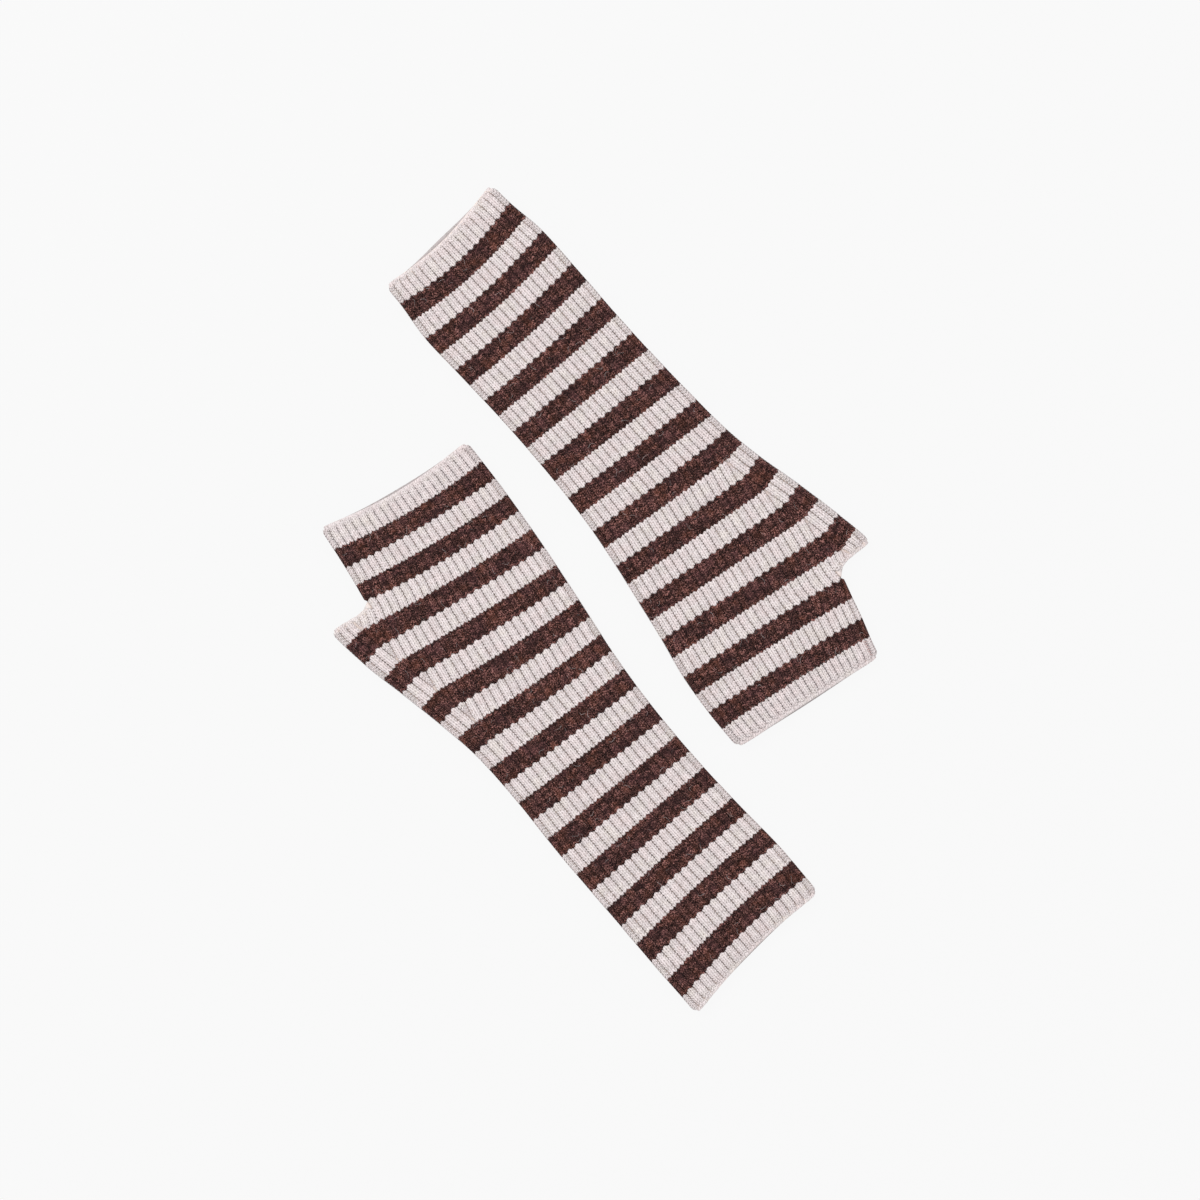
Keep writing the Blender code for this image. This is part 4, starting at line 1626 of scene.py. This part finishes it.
HAIR_KINDS = (
    #     title          side     on brown  wool       share  short  long  cone
    Hairs("brown_fuzz", "front", True, BROWN_WOOL, 0.62, 0.7, 1.3, 0.35),
    Hairs("cream_fuzz", "front", False, CREAM_WOOL, 0.62, 0.7, 1.2, 0.30),
    Hairs("pale_hairs", "front", True, GREY_WOOL, 0.09, 0.9, 2.6, 0.18),
    Hairs("brown_fuzz_under", "back", True, BROWN_WOOL, 0.25, 0.6, 1.0, 0.10),
    Hairs("cream_fuzz_under", "back", False, CREAM_WOOL, 0.25, 0.6, 1.0, 0.10),
)


def curl_path(curl):
    """Points along a hair: it turns as it goes, rises, and comes down again."""
    along = np.arange(HAIR_STEPS) / HAIR_STEPS
    heading = curl.bend * (along - CURL_START) + curl.wave * np.sin(2 * math.pi * along)
    step = curl.length / HAIR_STEPS
    x = np.append(0, np.cumsum(step * np.sin(heading)))
    y = np.append(0, np.cumsum(step * np.cos(heading)))
    z = curl.height * np.sin(CURL_ARC * math.pi * np.linspace(0, 1, HAIR_STEPS + 1))
    return np.stack([x, y, z], -1)


def draw_hair(curl):
    """A tapered closed hair with three sides."""
    def draw(mesh):
        path = curl_path(curl)
        turns = [2 * math.pi * i / HAIR_SIDES for i in range(HAIR_SIDES)]
        rings = [[path[0]]]
        for k in range(1, HAIR_STEPS):
            radius = HAIR_RADIUS * (1 - HAIR_TAPER * k / HAIR_STEPS)
            round_it = [(radius * math.cos(t), 0, radius * math.sin(t)) for t in turns]
            rings.append([Vector(path[k]) + Vector(corner) for corner in round_it])
        skin(mesh, [*rings, [path[-1]]])
    return draw


def hair_tree(kind):
    labels = [f"Hair {k}" for k in range(len(CURLS))]
    tree = GeometryTree(
        "loose_fibres", Share=kind.share, Shortest=kind.shortest * MM, Longest=kind.longest * MM,
        Cone=kind.cone, Seed=HAIR_SEED, **dict.fromkeys(labels, "object"),
    )
    share, shortest, longest, cone, seed = (tree.entry.other(name) for name in list(tree.given)[:5])
    inputs = {"Probability": share, "Seed": seed}
    chosen = tree.node("FunctionNodeRandomValue", {"data_type": "BOOLEAN"}, inputs)
    shapes = [tree.shape_of(label) for label in reversed(labels)]
    copies = tree.node("GeometryNodeInstanceOnPoints", None, {
        "Points": tree.entry, "Selection": chosen, "Pick Instance": True,
        "Instance": tree.node("GeometryNodeGeometryToInstance", None, {"Geometry": shapes}),
        "Instance Index": tree.chance(0, len(CURLS) - 1, PICK_DRAW, "INT"),
        "Rotation": tree.turn_on_guide(),
        "Scale": tree.chance(shortest, longest, LENGTH_DRAW),
    })
    about = {
        "X": tree.chance(cone * -1.0, cone, TILT_DRAW),
        "Y": tree.chance(cone * -1.0, cone, LEAN_DRAW),
        "Z": tree.chance(-math.pi, math.pi, TURN_DRAW),
    }
    tree.end_copies(copies, about, tree.chance(*HAIR_TONES, TONE_DRAW), kind.material)
    return tree


HAIRS = [helper_mesh(f"hair_{k}", draw_hair(curl)) for k, curl in enumerate(CURLS)]
given = {f"Hair {k}": hair for k, hair in enumerate(HAIRS)}
for (name, part), pieces in DRESSING.items():
    guide = GUIDES[name][part]
    for kind in HAIR_KINDS:
        keep = (guide.side == kind.side) & (is_brown(guide.row) == kind.on_brown)
        if keep.any():
            title = f"{name}_{part}_{kind.title}"
            drawn = guide_object(title + "_guide", guide, PLACES[name], keep)
            made = hair_tree(kind).make_plain(drawn, title, **given)
            print(made.name, "triangles", triangles(made))
            pieces.append(made)
for helper in HAIRS:
    bpy.data.objects.remove(helper)

# %% [markdown]
# ## Floor, light and camera
#
# The pair is photographed straight down on a white surface, in light so even that there is hardly a
# shadow. A bright world does most of it, and one large soft lamp from the upper left gives the ribs
# a little shape. The lens is long, as in a product photograph, and the view takes in 564 mm.

# %% Studio
VIEW_WIDTH = 0.564
LENS = 100.0
SENSOR = 36.0
VIEW_CENTRE = (0.0002, -0.0005)
FLOOR_SIZE = 6.0
FLOOR_DROP = 0.0004
FLOOR_COLOR = (0.03, 0.03, 0.03)
WHITE = (1.0, 1.0, 1.0, 1.0)
FLOOR_FINISH = {
    "Roughness": 1.0, "Specular IOR Level": 0.0, "Emission Color": WHITE, "Emission Strength": 0.913,
}
MOTTLE = (0.998, 0.004)
WORLD_STRENGTH = 0.88
LAMP_SIZE = 1.6
LAMP_PLACE = (-1.0, 1.0, 1.7)
LAMP_POWER = 18.0


def make_floor():
    bpy.ops.mesh.primitive_plane_add(size=FLOOR_SIZE, location=(0, 0, -FLOOR_DROP))
    floor = bpy.context.object
    floor.name = "floor"
    material, graph, place = new_material("pale_floor")
    mottle = wool_noise(graph, place, 3.0, 1.0, 0.0)
    inputs = {"Base Color": shaded(graph, FLOOR_COLOR, mottle, MOTTLE), **FLOOR_FINISH}
    shader = graph.node("ShaderNodeBsdfPrincipled", None, inputs)
    graph.node("ShaderNodeOutputMaterial", None, {"Surface": shader})
    floor.data.materials.append(material)
    return floor


def make_light():
    world = bpy.data.worlds.new("studio")
    world.use_nodes = True
    background = world.node_tree.nodes["Background"]
    background.inputs["Color"].default_value = WHITE
    background.inputs["Strength"].default_value = WORLD_STRENGTH
    bpy.context.scene.world = world
    lamp = bpy.data.lights.new("soft_lamp", "AREA")
    lamp.size = LAMP_SIZE
    lamp.energy = LAMP_POWER
    placed = new_object("soft_lamp", lamp)
    placed.location = LAMP_PLACE
    placed.rotation_mode = "QUATERNION"
    placed.rotation_quaternion = (-Vector(LAMP_PLACE)).to_track_quat("-Z", "Y")


def make_camera():
    lens = bpy.data.cameras.new("camera")
    lens.lens = LENS
    lens.sensor_width = SENSOR
    distance = VIEW_WIDTH * LENS / SENSOR
    lens.clip_end = 10 * distance
    camera = new_object("camera", lens)
    camera.location = (*VIEW_CENTRE, distance)
    bpy.context.scene.camera = camera
    print("camera height:", round(distance, 3), "m")


floor = make_floor()
make_light()
make_camera()
bpy.context.scene.view_settings.view_transform = "Standard"

# %% [markdown]
#
# Every piece rides on the one body. The cloth of each tube and band stands for its solid, which is
# hidden. For a tube its flat size is the cut all round, so its width is twice the width that
# shows.

def flat_cut(knit, first, last, hand_from):
    """(greatest width all round, length, area) of a stretch of the tube, in metres."""
    rows = np.arange(first, last + 1, dtype=float)
    below = Course(knit, rows)
    above = Course(knit, rows, hand=True)
    widths = 2 * np.where(rows < hand_from, below.far - below.thumb, above.far - above.thumb)
    along = below.at.along
    area = float(np.sum((widths[1:] + widths[:-1]) / 2 * np.diff(along)))
    return float(widths.max()) * MM, float(along[-1] - along[0]) * MM, area * MM * MM


for knit in PAIR:
    spans = {"tube": (0, HAND_BAND_START), "band": (HAND_BAND_START, LAST_ROW)}
    nodes = {"tube": knit.name + "_tube", "band": knit.name + "_hand_band"}
    for part, (first, last) in spans.items():
        cloth, dressing = WALLS[knit.name, part], DRESSING[knit.name, part]
        slot = "striped_wool" if part == "tube" else "cream_wool"
        for piece in (cloth, *dressing):
            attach(piece, "root")
        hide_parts(nodes[part])
        width, length, area = flat_cut(knit, first, last, THUMB_MOUTH)
        print(cloth.name, f"cut {width:.4f} x {length:.4f} m, area {area:.5f} m2")

floor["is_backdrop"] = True

# %% The box of the dressed pair, and finish
low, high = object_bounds()
print("box of the dressed pair:", [round(v * 1000, 1) for v in (*low, *high)], "mm")
